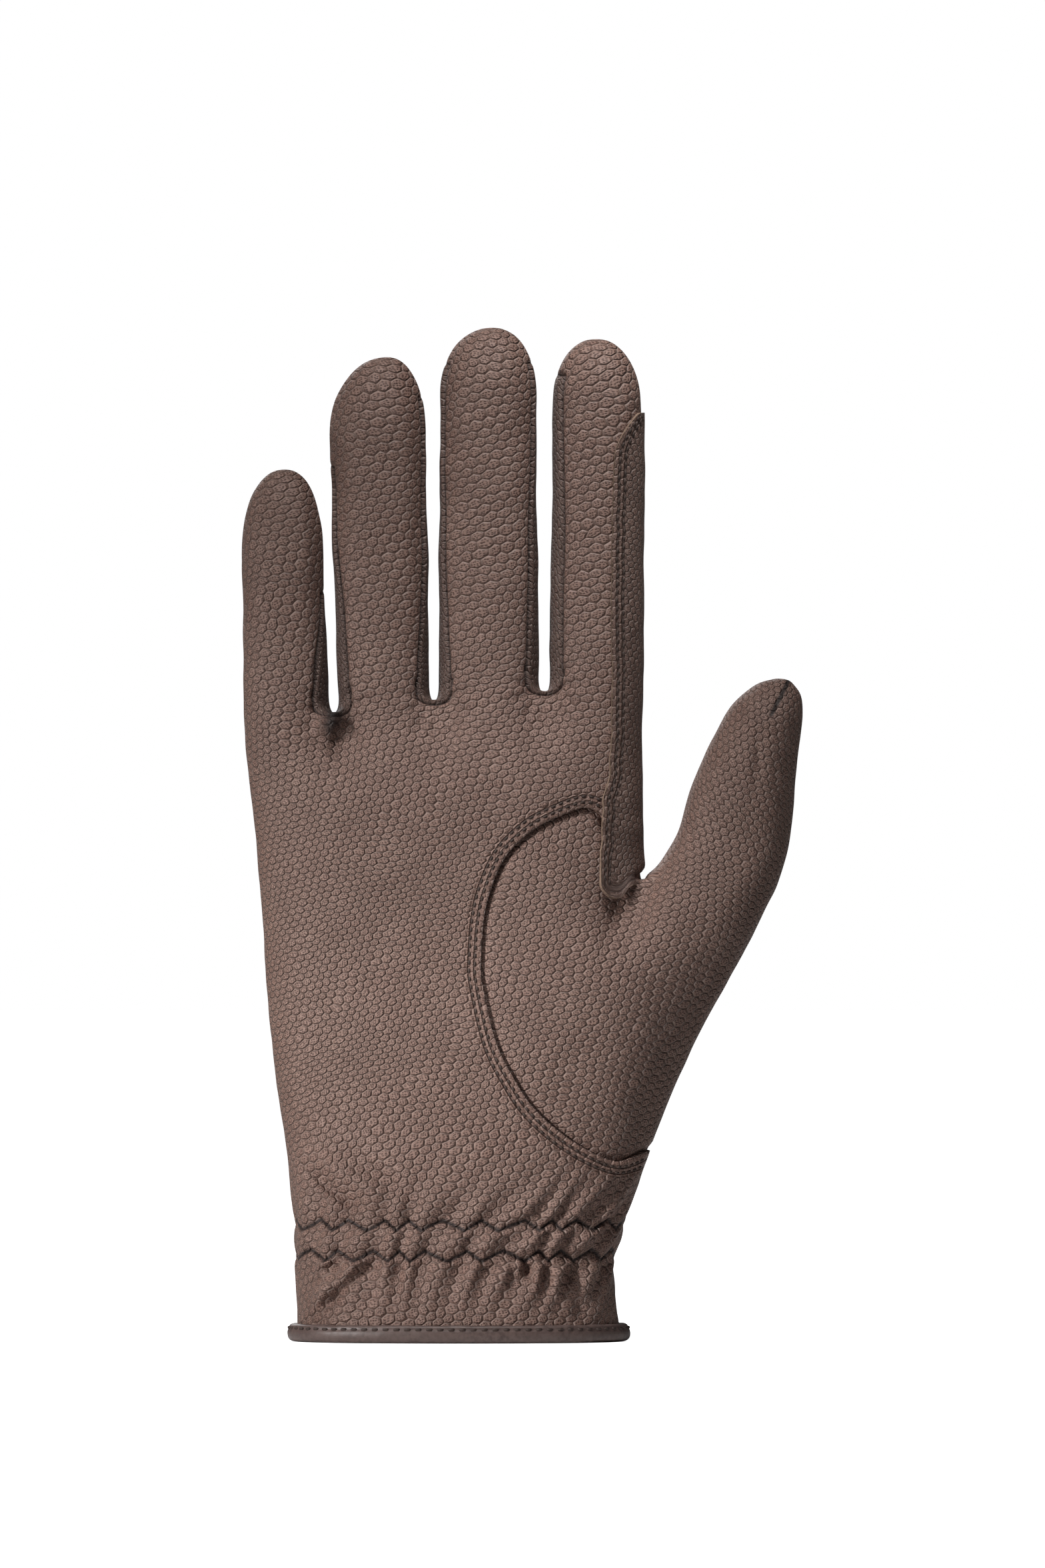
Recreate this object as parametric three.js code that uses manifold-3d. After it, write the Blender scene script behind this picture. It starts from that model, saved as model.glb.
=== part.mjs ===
// A right-hand riding glove in embossed synthetic leather, standing fingers up with its palm towards -Y.
// Millimetres, +Z up, +X towards the thumb. The origin is the middle of the wrist opening, at the hem's underside.
//
// The glove is sewn from thin pieces: a palm, a back, three fourchettes (the strips between the fingers), a thumb,
// a patch on the index finger's outer side and a rolled binding round the hem. One net of points is laid over the
// whole outer surface, row by row, and each leather piece is a patch of that net given the leather's thickness.
import * as THREE from "three";
import { mergeVertices } from "three/addons/utils/BufferGeometryUtils.js";
import Module from "manifold-3d";

const wasm = await Module();
wasm.setup();
const { lerp, smoothstep, degToRad } = THREE.MathUtils;

// Leather
const WALL = 1.2; // leather with its cloth backing
const SEAM_GAP = 0.4; // clear space between two pieces that are sewn edge to edge
const PATCH_WALL = 1; // the side patch's own leather
const PATCH_CLEARANCE = 0.3; // between the patch and the leather that it lies on

// Cuff
const CUFF_WIDTH = 76.2;
const CUFF_DEPTH = 44;
const BINDING_THICKNESS = 4.4;
const BINDING_HEIGHT = 4.3;
const BINDING_FOOT = 2.8; // width of the flat strip that the binding stands on
const BINDING_FLOOR = 2.0; // leather under the shell's edge
const BINDING_CLEARANCE = 0.3; // on each side of the shell's edge and under it
const LOWER_STITCH_HEIGHT = 20.6; // the lower zigzag row of the elastic, above the hem
const STITCH_ROW_SPACING = 7.2; // from the lower zigzag row to the upper one
const GATHER_DEPTH = 1.3; // how far the gathered leather stands in and out
const GATHERS = 24; // puffs round the wrist
const COLUMNS_A_GATHER = 4;

// Palm
const PALM_DEPTH = 30;
const KNUCKLE_DEPTH = 25;
const KNUCKLE_SHIFT = -3.9; // middle of the knuckle row, from the middle of the cuff
const THUMB_CROTCH_HEIGHT = 109.5;
const THENAR_SWELL = 3; // the ball of the thumb stands this far out of the palm
const PALM_HOLLOW = 1.6;

// Fingers. These are the middle finger's own sizes, the other fingers' are shares of them.
const FINGER_WIDTH = 23.9;
const FINGER_DEPTH = 19;
const FINGER_LENGTH = 86.6; // from the crotch line to the tip
// Crotches between the fingers. These are the sizes of the one beside the index finger.
const CROTCH_HEIGHT = 154.6; // above the hem
const CROTCH_GAP = 2.3;
// From the little finger to the index finger: width and depth at the root and length as shares of the middle
// finger's. The rest are shares of the finger's own width: lean of the dome's foot away from the root's middle, lean
// of the tip away from there, width at the dome's foot, and the dome's height.
const FINGERS = [
  { name: "little", wide: 0.858, deep: 0.863, long: 0.656, lean: -0.0585, tipLean: 0.049, taper: 0.93, dome: 0.907 },
  { name: "ring", wide: 0.908, deep: 0.968, long: 0.947, lean: -0.0645, tipLean: 0.101, taper: 1.05, dome: 0.899 },
  { name: "middle", wide: 1, deep: 1, long: 1, lean: -0.008, tipLean: 0.042, taper: 0.955, dome: 0.736 },
  { name: "index", wide: 0.9, deep: 0.979, long: 0.9515, lean: 0.028, tipLean: -0.019, taper: 0.99, dome: 0.8 },
].map((row) => ({
  ...row,
  width: row.wide * FINGER_WIDTH,
  depth: row.deep * FINGER_DEPTH,
  length: row.long * FINGER_LENGTH,
}));
// The bottom of each gap and its width there, as shares, and how far the fourchette reaches up each neighbouring
// finger, as a share of that finger's length
const CROTCHES = [
  { name: "little_ring", up: 0.9664, wide: 0.783, reachLeft: 0.5, reachRight: 0.69 },
  { name: "ring_middle", up: 0.9845, wide: 0.913, reachLeft: 0.93, reachRight: 0.93 },
  { name: "middle_index", up: 1, wide: 1, reachLeft: 0.93, reachRight: 0.93 },
].map((row) => ({ ...row, height: row.up * CROTCH_HEIGHT, gap: row.wide * CROTCH_GAP }));
const FOURCHETTE_WIDTH = 14; // across the finger's side, from the palm's seam to the back's seam
const FOURCHETTE_TOP_SHARE = 0.82; // its width at the top, as a share of the width at the crotch
const FINGERTIP_DEPTH_SHARE = 0.97; // a finger's depth at the dome's foot, as a share of its depth at the root

// Thumb
const THUMB_WIDTH = 29;
const THUMB_DEPTH = 24;
const THUMB_RISE = 50.2; // root's middle to tip, upwards
const THUMB_REACH = 16; // root's middle to tip, outwards
const THUMB_GAP = 1.7; // between the index finger's side and the thumb, at the crotch
const THUMB_DROP = 5.7; // the root's outer edge lies this far under the crotch

// Side patch on the index finger
const PATCH_TOP = 220; // height above the hem
const PATCH_BOTTOM = 104.8;
const PATCH_FACE = 7.6; // how far it comes round on to the palm's face, from the glove's outer side
const PATCH_CORNER = 13; // its rounded top corner, along the finger

// How rounded the sections are: 2 is an ellipse, more is squarer
const PALM_SQUARENESS = 2.35;
const FINGER_SQUARENESS = 2.4;
const DOME_SQUARENESS = 2.6;

// Net
const FACE_SEGMENTS = 4; // across a finger's face
const SIDE_SEGMENTS = 4; // across a finger's side
const THUMB_SEGMENTS = 6; // across the thumb's face
const HEM_COLUMNS = 44;

// The hand between the hem and the thumb's crotch. up is a share of the height; ulnar and radial say how far each
// edge has moved from the cuff's width to the knuckles' and the thumb root's; deep, from the cuff's depth to the palm's
const LOWER_SECTIONS = [
  { up: 0.0, ulnar: 0.0, radial: 0.015, deep: 0.0 },
  { up: 0.14, ulnar: 0.03, radial: -0.03, deep: 0.2 },
  { up: 0.19, ulnar: 0.05, radial: -0.02, deep: 0.28 },
  { up: 0.25, ulnar: 0.06, radial: 0.03, deep: 0.35 },
  { up: 0.32, ulnar: 0.11, radial: 0.09, deep: 0.45 },
  { up: 0.4, ulnar: 0.2, radial: 0.17, deep: 0.56 },
  { up: 0.5, ulnar: 0.33, radial: 0.28, deep: 0.68 },
  { up: 0.6, ulnar: 0.44, radial: 0.4, deep: 0.79 },
  { up: 0.7, ulnar: 0.53, radial: 0.535, deep: 0.88 },
  { up: 0.8, ulnar: 0.6, radial: 0.69, deep: 0.94 },
  { up: 0.9, ulnar: 0.655, radial: 0.85, deep: 0.98 },
  { up: 1.0, ulnar: 0.72, radial: 1.0, deep: 1.0 },
];
// The hand between the thumb's crotch and the knuckles
const UPPER_SECTIONS = [
  { up: 0.0, ulnar: 0.72, deep: 0.0 },
  { up: 0.3, ulnar: 0.8, deep: 0.15 },
  { up: 0.6, ulnar: 0.91, deep: 0.45 },
  { up: 0.85, ulnar: 0.98, deep: 0.8 },
  { up: 1.0, ulnar: 1.0, deep: 1.0 },
];
// Rows of the gathered wrist: at counts from the lower stitch row in row spacings, inset and wave are shares of the
// gather's depth
const GATHER_ROWS = [
  { at: -0.8, inset: 0.05, wave: 0.6 },
  { at: 0.0, inset: 0.85, wave: 0.3 },
  { at: 0.5, inset: 0.0, wave: 0.75 },
  { at: 1.0, inset: 0.85, wave: 0.3 },
  { at: 1.42, inset: 0.3, wave: 0.6 },
  { at: 1.95, inset: 0.0, wave: 0.3 },
];
const LOWER_ROWS = [0.375, 0.48, 0.6, 0.72, 0.83, 0.92, 1]; // shares of the thumb crotch's height
const UPPER_ROWS = [0.3, 0.6, 0.85, 1]; // shares of the way from there to the knuckles
const FINGER_ROWS = [0.1, 0.36, 0.68, 1]; // shares of the way from the root to the dome
const ROW_SNAP = 0.1; // a fourchette's end takes a row that is as near as this, as a share of the finger's length
const DOME_ROWS = [0.45, 0.75, 0.93]; // shares of the dome's height
// Thumb sections above the root: up and out along its rise and reach, wide and deep as shares, turn in degrees
const THUMB_SECTIONS = [
  { up: 0.11, out: 0.19, wide: 1.0, deep: 0.98, turn: -6 },
  { up: 0.22, out: 0.34, wide: 0.935, deep: 0.96, turn: -4 },
  { up: 0.38, out: 0.45, wide: 0.87, deep: 0.94, turn: -2 },
  { up: 0.54, out: 0.55, wide: 0.81, deep: 0.91, turn: -1 },
  { up: 0.7, out: 0.68, wide: 0.735, deep: 0.86, turn: 1 },
  { up: 0.83, out: 0.81, wide: 0.64, deep: 0.77, turn: 3 },
  { up: 0.93, out: 0.905, wide: 0.47, deep: 0.58, turn: 5 },
  { up: 0.985, out: 0.975, wide: 0.24, deep: 0.31, turn: 4 },
];
// The seam round the ball of the thumb: across is a share of the way from the cuff's middle to the hand's radial
// edge at the knuckles, up a share of the thumb crotch's height
const THUMB_SEAM = [
  { across: 1.056, up: 0.412 },
  { across: 0.9, up: 0.391 },
  { across: 0.77, up: 0.404 },
  { across: 0.588, up: 0.446 },
  { across: 0.416, up: 0.506 },
  { across: 0.3, up: 0.574 },
  { across: 0.205, up: 0.651 },
  { across: 0.133, up: 0.774 },
  { across: 0.126, up: 0.826 },
  { across: 0.14, up: 0.906 },
  { across: 0.179, up: 0.975 },
  { across: 0.263, up: 1.047 },
  { across: 0.398, up: 1.1 },
  { across: 0.537, up: 1.13 },
  { across: 0.698, up: 1.152 },
  { across: 0.79, up: 1.135 },
  { across: 0.82, up: 1.11 },
];
// Folds that the elastic draws in the palm's face above and below it: each runs from one end to the other, ends
// given like the seam's, with a depth and a half-width as shares of the gather's depth (a negative depth is a dent)
const FOLDS = [
  { fromAcross: -0.86, fromUp: 0.345, toAcross: -0.52, toUp: 0.275, depth: -0.9, half: 2.2 },
  { fromAcross: -0.7, fromUp: 0.36, toAcross: -0.35, toUp: 0.285, depth: 0.7, half: 2.2 },
  { fromAcross: -0.72, fromUp: 0.085, toAcross: -0.5, toUp: 0.165, depth: 0.9, half: 2.0 },
  { fromAcross: 0.38, fromUp: 0.08, toAcross: 0.34, toUp: 0.165, depth: 0.9, half: 2.0 },
  { fromAcross: 0.56, fromUp: 0.08, toAcross: 0.5, toUp: 0.165, depth: -0.8, half: 2.0 },
];

// A smooth value between the rows of a table
function between(rows, key, up) {
  const at = new Float32Array(rows.map((row) => row.up));
  const values = new Float32Array(rows.map((row) => row[key]));
  return new THREE.CubicInterpolant(at, values, 1).evaluate(Math.min(up, at[at.length - 1]))[0];
}

// A rounded section: half-depth at u, where u runs from -1 to 1 across it, and the half-width at a given depth
function faceOf(u, squareness) {
  return Math.pow(Math.max(0, 1 - Math.pow(Math.abs(u), squareness)), 1 / squareness);
}

// Places of the fingers along the knuckle row, from their widths and the gaps between them
const knuckleWidth =
  FINGERS.reduce((sum, finger) => sum + finger.width, 0) +
  CROTCHES.reduce((sum, crotch) => sum + crotch.gap, 0);
const knuckleLeft = KNUCKLE_SHIFT - knuckleWidth / 2;
const knuckleRight = knuckleLeft + knuckleWidth;
let edge = knuckleLeft;
FINGERS.forEach((finger, i) => {
  finger.middle = edge + finger.width / 2;
  edge += finger.width + (i < CROTCHES.length ? CROTCHES[i].gap : 0);
});
const seamDepth = FOURCHETTE_WIDTH / 2; // the palm's seam with a fourchette lies this far in front of the middle
const cornerOf = (halfDepth, squareness) =>
  Math.pow(1 - Math.pow(Math.min(0.9, seamDepth / halfDepth), squareness), 1 / squareness);
const crotchLine = [CROTCHES[0].height, ...CROTCHES.map((crotch) => crotch.height), CROTCHES[2].height];
const rootOf = (finger) => (crotchLine[finger] + crotchLine[finger + 1]) / 2;

// Thumb root, on the row of the thumb's crotch
const thumbLeft = knuckleRight + THUMB_GAP;
const thumbRight = thumbLeft + THUMB_WIDTH;
const thumbMiddle = (thumbLeft + thumbRight) / 2;
const thumbRoot = { x: thumbMiddle, z: THUMB_CROTCH_HEIGHT - THUMB_DROP / 2 };

// Stations across the palm's face at the knuckles: each finger's face from seam to seam, with one station in the
// bottom of each gap. u counts across its own finger.
const knuckleStations = [];
FINGERS.forEach((finger, i) => {
  const corner = cornerOf(finger.depth / 2, FINGER_SQUARENESS);
  for (let j = 0; j <= FACE_SEGMENTS; j += 1) {
    const u = corner * (-1 + (2 * j) / FACE_SEGMENTS);
    const height = lerp(crotchLine[i], crotchLine[i + 1], j / FACE_SEGMENTS);
    knuckleStations.push({ finger: i, u, x: finger.middle + (u * finger.width) / 2, height });
  }
  if (i < CROTCHES.length) {
    const x = finger.middle + finger.width / 2 + CROTCHES[i].gap / 2;
    knuckleStations.push({ crotch: i, x, height: CROTCHES[i].height - CROTCHES[i].gap / 2 });
  }
});
// The same row goes on over the thumb's crotch and the thumb's root
const thumbCorner = cornerOf(THUMB_DEPTH / 2, FINGER_SQUARENESS);
const thumbStations = [{ gap: true, x: knuckleRight + THUMB_GAP / 2 }];
for (let j = 0; j <= THUMB_SEGMENTS; j += 1) {
  const u = thumbCorner * (-1 + (2 * j) / THUMB_SEGMENTS);
  thumbStations.push({ u, x: thumbMiddle + (u * THUMB_WIDTH) / 2 });
}

// The net: points on the glove's outer surface, and cells that say which piece of leather they belong to
const points = [];
const cells = [];
const addPoint = (x, y, z) => points.push(new THREE.Vector3(x, y, z)) - 1;
const addCell = (corners, piece, zone) => {
  const distinct = corners.filter((corner, i) => corners.indexOf(corner) === i);
  if (distinct.length > 2) cells.push({ corners: distinct, piece, zone });
};

// Points round the end of a section, from its front seam to its back seam. side is -1 on the ulnar end, 1 on the
// radial end.
function endPoints(section, side, corner) {
  const made = [];
  for (let k = 1; k < SIDE_SEGMENTS; k += 1) {
    const y = -corner * Math.cos((Math.PI * k) / SIDE_SEGMENTS);
    const u = faceOf(Math.min(1, Math.abs(y) / section.half), section.squareness);
    made.push({ x: section.middle + (side * u * section.width) / 2, y });
  }
  return made;
}

function sectionOf(left, right, half, squareness) {
  return { middle: (left + right) / 2, width: right - left, half, squareness };
}
const faceAt = (section, x) =>
  section.half * faceOf((x - section.middle) / (section.width / 2), section.squareness);

// One row of the hand above the thumb's crotch, at a share of the way up to the knuckles
function upperRow(up) {
  const left = lerp(-CUFF_WIDTH / 2, knuckleLeft, between(UPPER_SECTIONS, "ulnar", up));
  const half = lerp(PALM_DEPTH, KNUCKLE_DEPTH, between(UPPER_SECTIONS, "deep", up)) / 2;
  const hand = sectionOf(left, knuckleRight, half, PALM_SQUARENESS);
  const split = smoothstep(up, 0.5, 1);
  const place = (x) => lerp(left, knuckleRight, (x - knuckleLeft) / knuckleWidth);
  const face = knuckleStations.map((station) => {
    const x = place(station.x);
    const finger = FINGERS[station.finger];
    const own = finger ? (finger.depth / 2) * faceOf(station.u, FINGER_SQUARENESS) : seamDepth;
    return { x, y: lerp(faceAt(hand, x), own, split), z: lerp(THUMB_CROTCH_HEIGHT, station.height, up) };
  });
  const end = (side) => {
    const finger = side < 0 ? FINGERS[0] : FINGERS[FINGERS.length - 1];
    const corner = (side < 0 ? face[0] : face[face.length - 1]).y;
    const z = (side < 0 ? face[0] : face[face.length - 1]).z;
    const own = {
      middle: place(finger.middle),
      width: finger.width,
      half: finger.depth / 2,
      squareness: FINGER_SQUARENESS,
    };
    const wide = endPoints(hand, side, corner);
    const narrow = endPoints(own, side, Math.min(corner, own.half));
    return wide.map((p, k) => ({ x: lerp(p.x, narrow[k].x, split), y: p.y, z }));
  };
  return { face, ulnar: end(-1), radial: end(1) };
}

// One row of the hand below the thumb's crotch, at a share of the crotch's height
function lowerSection(up) {
  const left = lerp(-CUFF_WIDTH / 2, knuckleLeft, between(LOWER_SECTIONS, "ulnar", up));
  const right = lerp(CUFF_WIDTH / 2, thumbRight, between(LOWER_SECTIONS, "radial", up));
  const half = lerp(CUFF_DEPTH, PALM_DEPTH, between(LOWER_SECTIONS, "deep", up)) / 2;
  return sectionOf(left, right, half, PALM_SQUARENESS);
}
const dropAt = (share, up) => up * (THUMB_CROTCH_HEIGHT - THUMB_DROP * share);

function lowerRow(up) {
  const whole = lowerSection(up);
  const left = whole.middle - whole.width / 2;
  const top = upperRow(0).face;
  const topLeft = lerp(-CUFF_WIDTH / 2, knuckleLeft, UPPER_SECTIONS[0].ulnar);
  const scale = whole.width / (thumbRight - topLeft);
  const place = (x) => left + (x - topLeft) * scale;
  const split = smoothstep(up, 0.7, 1);
  const handPart = sectionOf(left, place(knuckleRight), whole.half, PALM_SQUARENESS);
  const thumbPart = sectionOf(place(thumbLeft), place(thumbRight), THUMB_DEPTH / 2, FINGER_SQUARENESS);
  const drop = (x) => dropAt(THREE.MathUtils.clamp((x - thumbLeft) / THUMB_WIDTH, 0, 1), up);
  const face = [
    ...top.map((p) => ({ at: p.x, own: (x) => faceAt(handPart, x) })),
    ...thumbStations.map((s) => ({ at: s.x, own: (x) => (s.gap ? seamDepth * 0.9 : faceAt(thumbPart, x)) })),
  ].map(({ at, own }) => {
    const x = place(at);
    return { x, y: lerp(faceAt(whole, x), own(x), split), z: drop(at) };
  });
  const ulnarCorner = face[0].y;
  const radialCorner = face[face.length - 1].y;
  const wide = endPoints(whole, 1, radialCorner);
  const narrow = endPoints(thumbPart, 1, Math.min(radialCorner, thumbPart.half));
  const radialHeight = face[face.length - 1].z;
  return {
    face,
    ulnar: endPoints(split > 0 ? handPart : whole, -1, ulnarCorner).map((p, k) => ({
      x: lerp(endPoints(whole, -1, ulnarCorner)[k].x, p.x, split),
      y: p.y,
      z: drop(topLeft),
    })),
    radial: wide.map((p, k) => ({ x: lerp(p.x, narrow[k].x, split), y: p.y, z: radialHeight })),
  };
}

// Turns a row into a ring of net points: the palm's face, the radial end, the back's face and the ulnar end, with
// the ring starting in the middle of the ulnar end
const halfSide = SIDE_SEGMENTS / 2;
function ringOf(row) {
  const front = row.face.map((p) => addPoint(p.x, -p.y, p.z));
  const back = row.face.map((p) => addPoint(p.x, p.y, p.z));
  const radial = row.radial.map((p) => addPoint(p.x, p.y, p.z));
  const ulnar = row.ulnar.map((p) => addPoint(p.x, p.y, p.z));
  return { front, back, radial, ulnar };
}
const loopOf = (ring) => [
  ...ring.ulnar.slice(0, halfSide).reverse(),
  ...ring.front,
  ...ring.radial,
  ...ring.back.slice().reverse(),
  ...ring.ulnar.slice(halfSide).reverse(),
];

// Cells between two closed loops of the same length. pieceOf names the leather at each segment.
function wrap(lower, upper, pieceOf, zone) {
  lower.forEach((a, i) => {
    const j = (i + 1) % lower.length;
    addCell([a, lower[j], upper[j], upper[i]], pieceOf(i, lower.length), zone);
  });
}
const frontOrBack = (i, count) => (i < count / 2 ? "palm" : "back");

// Triangles between two open lines of different lengths
function zip(lower, upper, piece, zone) {
  let i = 0;
  let j = 0;
  while (i < lower.length - 1 || j < upper.length - 1) {
    const nextLower = (i + 1) / (lower.length - 1);
    const nextUpper = (j + 1) / (upper.length - 1);
    if (j === upper.length - 1 || (i < lower.length - 1 && nextLower <= nextUpper)) {
      addCell([lower[i], lower[i + 1], upper[j]], piece, zone);
      i += 1;
    } else {
      addCell([lower[i], upper[j + 1], upper[j]], piece, zone);
      j += 1;
    }
  }
}
// The two halves of a loop are zipped by themselves, so that the side seams stay on their lines
function zipLoops(lower, upper, zone) {
  const halves = (loop) => [
    loop.slice(0, loop.length / 2 + 1),
    [...loop.slice(loop.length / 2), loop[0]],
  ];
  const [lowerFront, lowerBack] = halves(lower);
  const [upperFront, upperBack] = halves(upper);
  zip(lowerFront, upperFront, "palm", zone);
  zip(lowerBack, upperBack, "back", zone);
}

// Evenly spaced points round a section, from the middle of its ulnar end, with the outward direction at each
function outlineOf(section, count) {
  const fine = 720;
  const at = (t) => {
    const c = Math.cos(t);
    const s = Math.sin(t);
    const power = 2 / section.squareness;
    return new THREE.Vector2(
      section.middle - (section.width / 2) * Math.sign(c) * Math.pow(Math.abs(c), power),
      -section.half * Math.sign(s) * Math.pow(Math.abs(s), power),
    );
  };
  const half = (from) => {
    const line = [];
    for (let i = 0; i <= fine; i += 1) line.push(at(from + (Math.PI * i) / fine));
    const curve = new THREE.SplineCurve(line);
    curve.arcLengthDivisions = fine;
    return curve.getSpacedPoints(count / 2).slice(0, -1);
  };
  const places = [...half(0), ...half(Math.PI)];
  return places.map((place, i) => {
    const before = places[(i + places.length - 1) % places.length];
    const after = places[(i + 1) % places.length];
    const along = after.clone().sub(before).normalize();
    return { x: place.x, y: place.y, outX: along.y, outY: -along.x };
  });
}
// A cuff row: height counts from the hem on the ulnar side, and the radial side drops a little with the thumb's root
function cuffRow(height, count, push) {
  const up = height / THUMB_CROTCH_HEIGHT;
  const section = lowerSection(up);
  const left = section.middle - section.width / 2;
  return outlineOf(section, count).map((p, i) => {
    const out = push(i / count);
    const across = (p.x - left) / section.width;
    const drop = THUMB_DROP * up * smoothstep(across, 0.6, 1);
    return addPoint(p.x + p.outX * out, p.y + p.outY * out, height - drop);
  });
}

// Lays the cuff: the hem's edge inside the binding, then the gathered rows
const shellStart = BINDING_FLOOR + BINDING_CLEARANCE;
const hemLoop = cuffRow(shellStart, HEM_COLUMNS, () => 0);
const lipLoop = cuffRow(BINDING_HEIGHT + BINDING_CLEARANCE, HEM_COLUMNS, () => 0);
const gatherLoops = GATHER_ROWS.map((row) =>
  cuffRow(LOWER_STITCH_HEIGHT + row.at * STITCH_ROW_SPACING, GATHERS * COLUMNS_A_GATHER, (share) => {
    const wave = Math.cos(2 * Math.PI * GATHERS * share);
    return GATHER_DEPTH * (row.wave * wave - row.inset);
  }),
);
wrap(hemLoop, lipLoop, frontOrBack, "cuff");
zipLoops(lipLoop, gatherLoops[0], "cuff");
for (let i = 1; i < gatherLoops.length; i += 1) wrap(gatherLoops[i - 1], gatherLoops[i], frontOrBack, "cuff");

// Lays the hand up to the thumb's crotch. A cell is a thumb candidate where the thumb's seam may cross it.
const lowerRings = LOWER_ROWS.map((up) => ringOf(lowerRow(up)));
zipLoops(gatherLoops[gatherLoops.length - 1], loopOf(lowerRings[0]), "cuff");
for (let i = 1; i < lowerRings.length; i += 1) {
  wrap(loopOf(lowerRings[i - 1]), loopOf(lowerRings[i]), frontOrBack, "lower");
}
const crotchRing = lowerRings[lowerRings.length - 1];
const handStations = knuckleStations.length;

// A crotch's two side lines and the line along its bottom, from the palm's seam to the back's seam
function crotchLines(leftSection, rightSection, front, back, height, gap) {
  const corner = Math.abs(points[front[0]].y);
  const left = endPoints(leftSection, 1, Math.min(corner, leftSection.half * 0.98));
  const right = endPoints(rightSection, -1, Math.min(corner, rightSection.half * 0.98));
  const lines = [[front[0]], [front[1]], [front[2]]];
  left.forEach((p, k) => {
    lines[0].push(addPoint(p.x, p.y, height + gap / 2));
    lines[1].push(addPoint((p.x + right[k].x) / 2, p.y, height - gap / 2));
    lines[2].push(addPoint(right[k].x, p.y, height + gap / 2));
  });
  lines.forEach((line, i) => line.push(back[i]));
  return lines;
}
function floorCrotch([left, bottom, right], piece, zone) {
  for (let k = 0; k < SIDE_SEGMENTS; k += 1) {
    addCell([left[k], bottom[k], bottom[k + 1], left[k + 1]], piece, zone);
    addCell([bottom[k], right[k], right[k + 1], bottom[k + 1]], piece, zone);
  }
}

// The thumb's crotch splits its row into the hand's ring and the thumb's ring
const crotchHand = lowerSection(1);
const crotchHandPart = sectionOf(
  crotchHand.middle - crotchHand.width / 2,
  knuckleRight,
  crotchHand.half,
  PALM_SQUARENESS,
);
const thumbPart = sectionOf(thumbLeft, thumbRight, THUMB_DEPTH / 2, FINGER_SQUARENESS);
const atGap = [handStations - 1, handStations, handStations + 1];
const thumbCrotch = crotchLines(
  crotchHandPart,
  thumbPart,
  atGap.map((i) => crotchRing.front[i]),
  atGap.map((i) => crotchRing.back[i]),
  THUMB_CROTCH_HEIGHT,
  THUMB_GAP,
);
floorCrotch(thumbCrotch, "thumb", "crotch");
const handRing = {
  front: crotchRing.front.slice(0, handStations),
  back: crotchRing.back.slice(0, handStations),
  radial: thumbCrotch[0].slice(1, -1),
  ulnar: crotchRing.ulnar,
};

// Lays the hand from the thumb's crotch to the knuckles
const upperRings = [handRing, ...UPPER_ROWS.map((up) => ringOf(upperRow(up)))];
for (let i = 1; i < upperRings.length; i += 1) {
  wrap(loopOf(upperRings[i - 1]), loopOf(upperRings[i]), frontOrBack, "upper");
}
const knuckleRing = upperRings[upperRings.length - 1];

// The crotches between the fingers
const fingerSection = (finger) => ({
  middle: finger.middle,
  width: finger.width,
  half: finger.depth / 2,
  squareness: FINGER_SQUARENESS,
});
const fingerCrotches = CROTCHES.map((crotch, i) => {
  const first = (i + 1) * (FACE_SEGMENTS + 2) - 2;
  const stations = [first, first + 1, first + 2];
  const lines = crotchLines(
    fingerSection(FINGERS[i]),
    fingerSection(FINGERS[i + 1]),
    stations.map((s) => knuckleRing.front[s]),
    stations.map((s) => knuckleRing.back[s]),
    crotch.height,
    crotch.gap,
  );
  floorCrotch(lines, `fourchette_${crotch.name}`, "crotch");
  return lines;
});

// A finger's ring at a share of its length: front seam to front seam, round the side and back again
function fingerRing(middle, width, half, corner, base, share, tip) {
  const section = { middle, width, half, squareness: FINGER_SQUARENESS };
  const reach = faceOf(Math.min(0.97, corner / half), FINGER_SQUARENESS);
  const heightOf = (station) => lerp(points[station].z, tip, share);
  const front = [];
  const back = [];
  for (let j = 0; j <= FACE_SEGMENTS; j += 1) {
    const u = reach * (-1 + (2 * j) / FACE_SEGMENTS);
    const y = half * faceOf(u, FINGER_SQUARENESS);
    front.push(addPoint(middle + (u * width) / 2, -y, heightOf(base.front[j])));
    back.push(addPoint(middle + (u * width) / 2, y, heightOf(base.back[j])));
  }
  const sideRing = (side, line) =>
    endPoints(section, side, points[back[0]].y).map((p, k) => addPoint(p.x, p.y, heightOf(line[k])));
  return { front, back, radial: sideRing(1, base.radial), ulnar: sideRing(-1, base.ulnar) };
}

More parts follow.
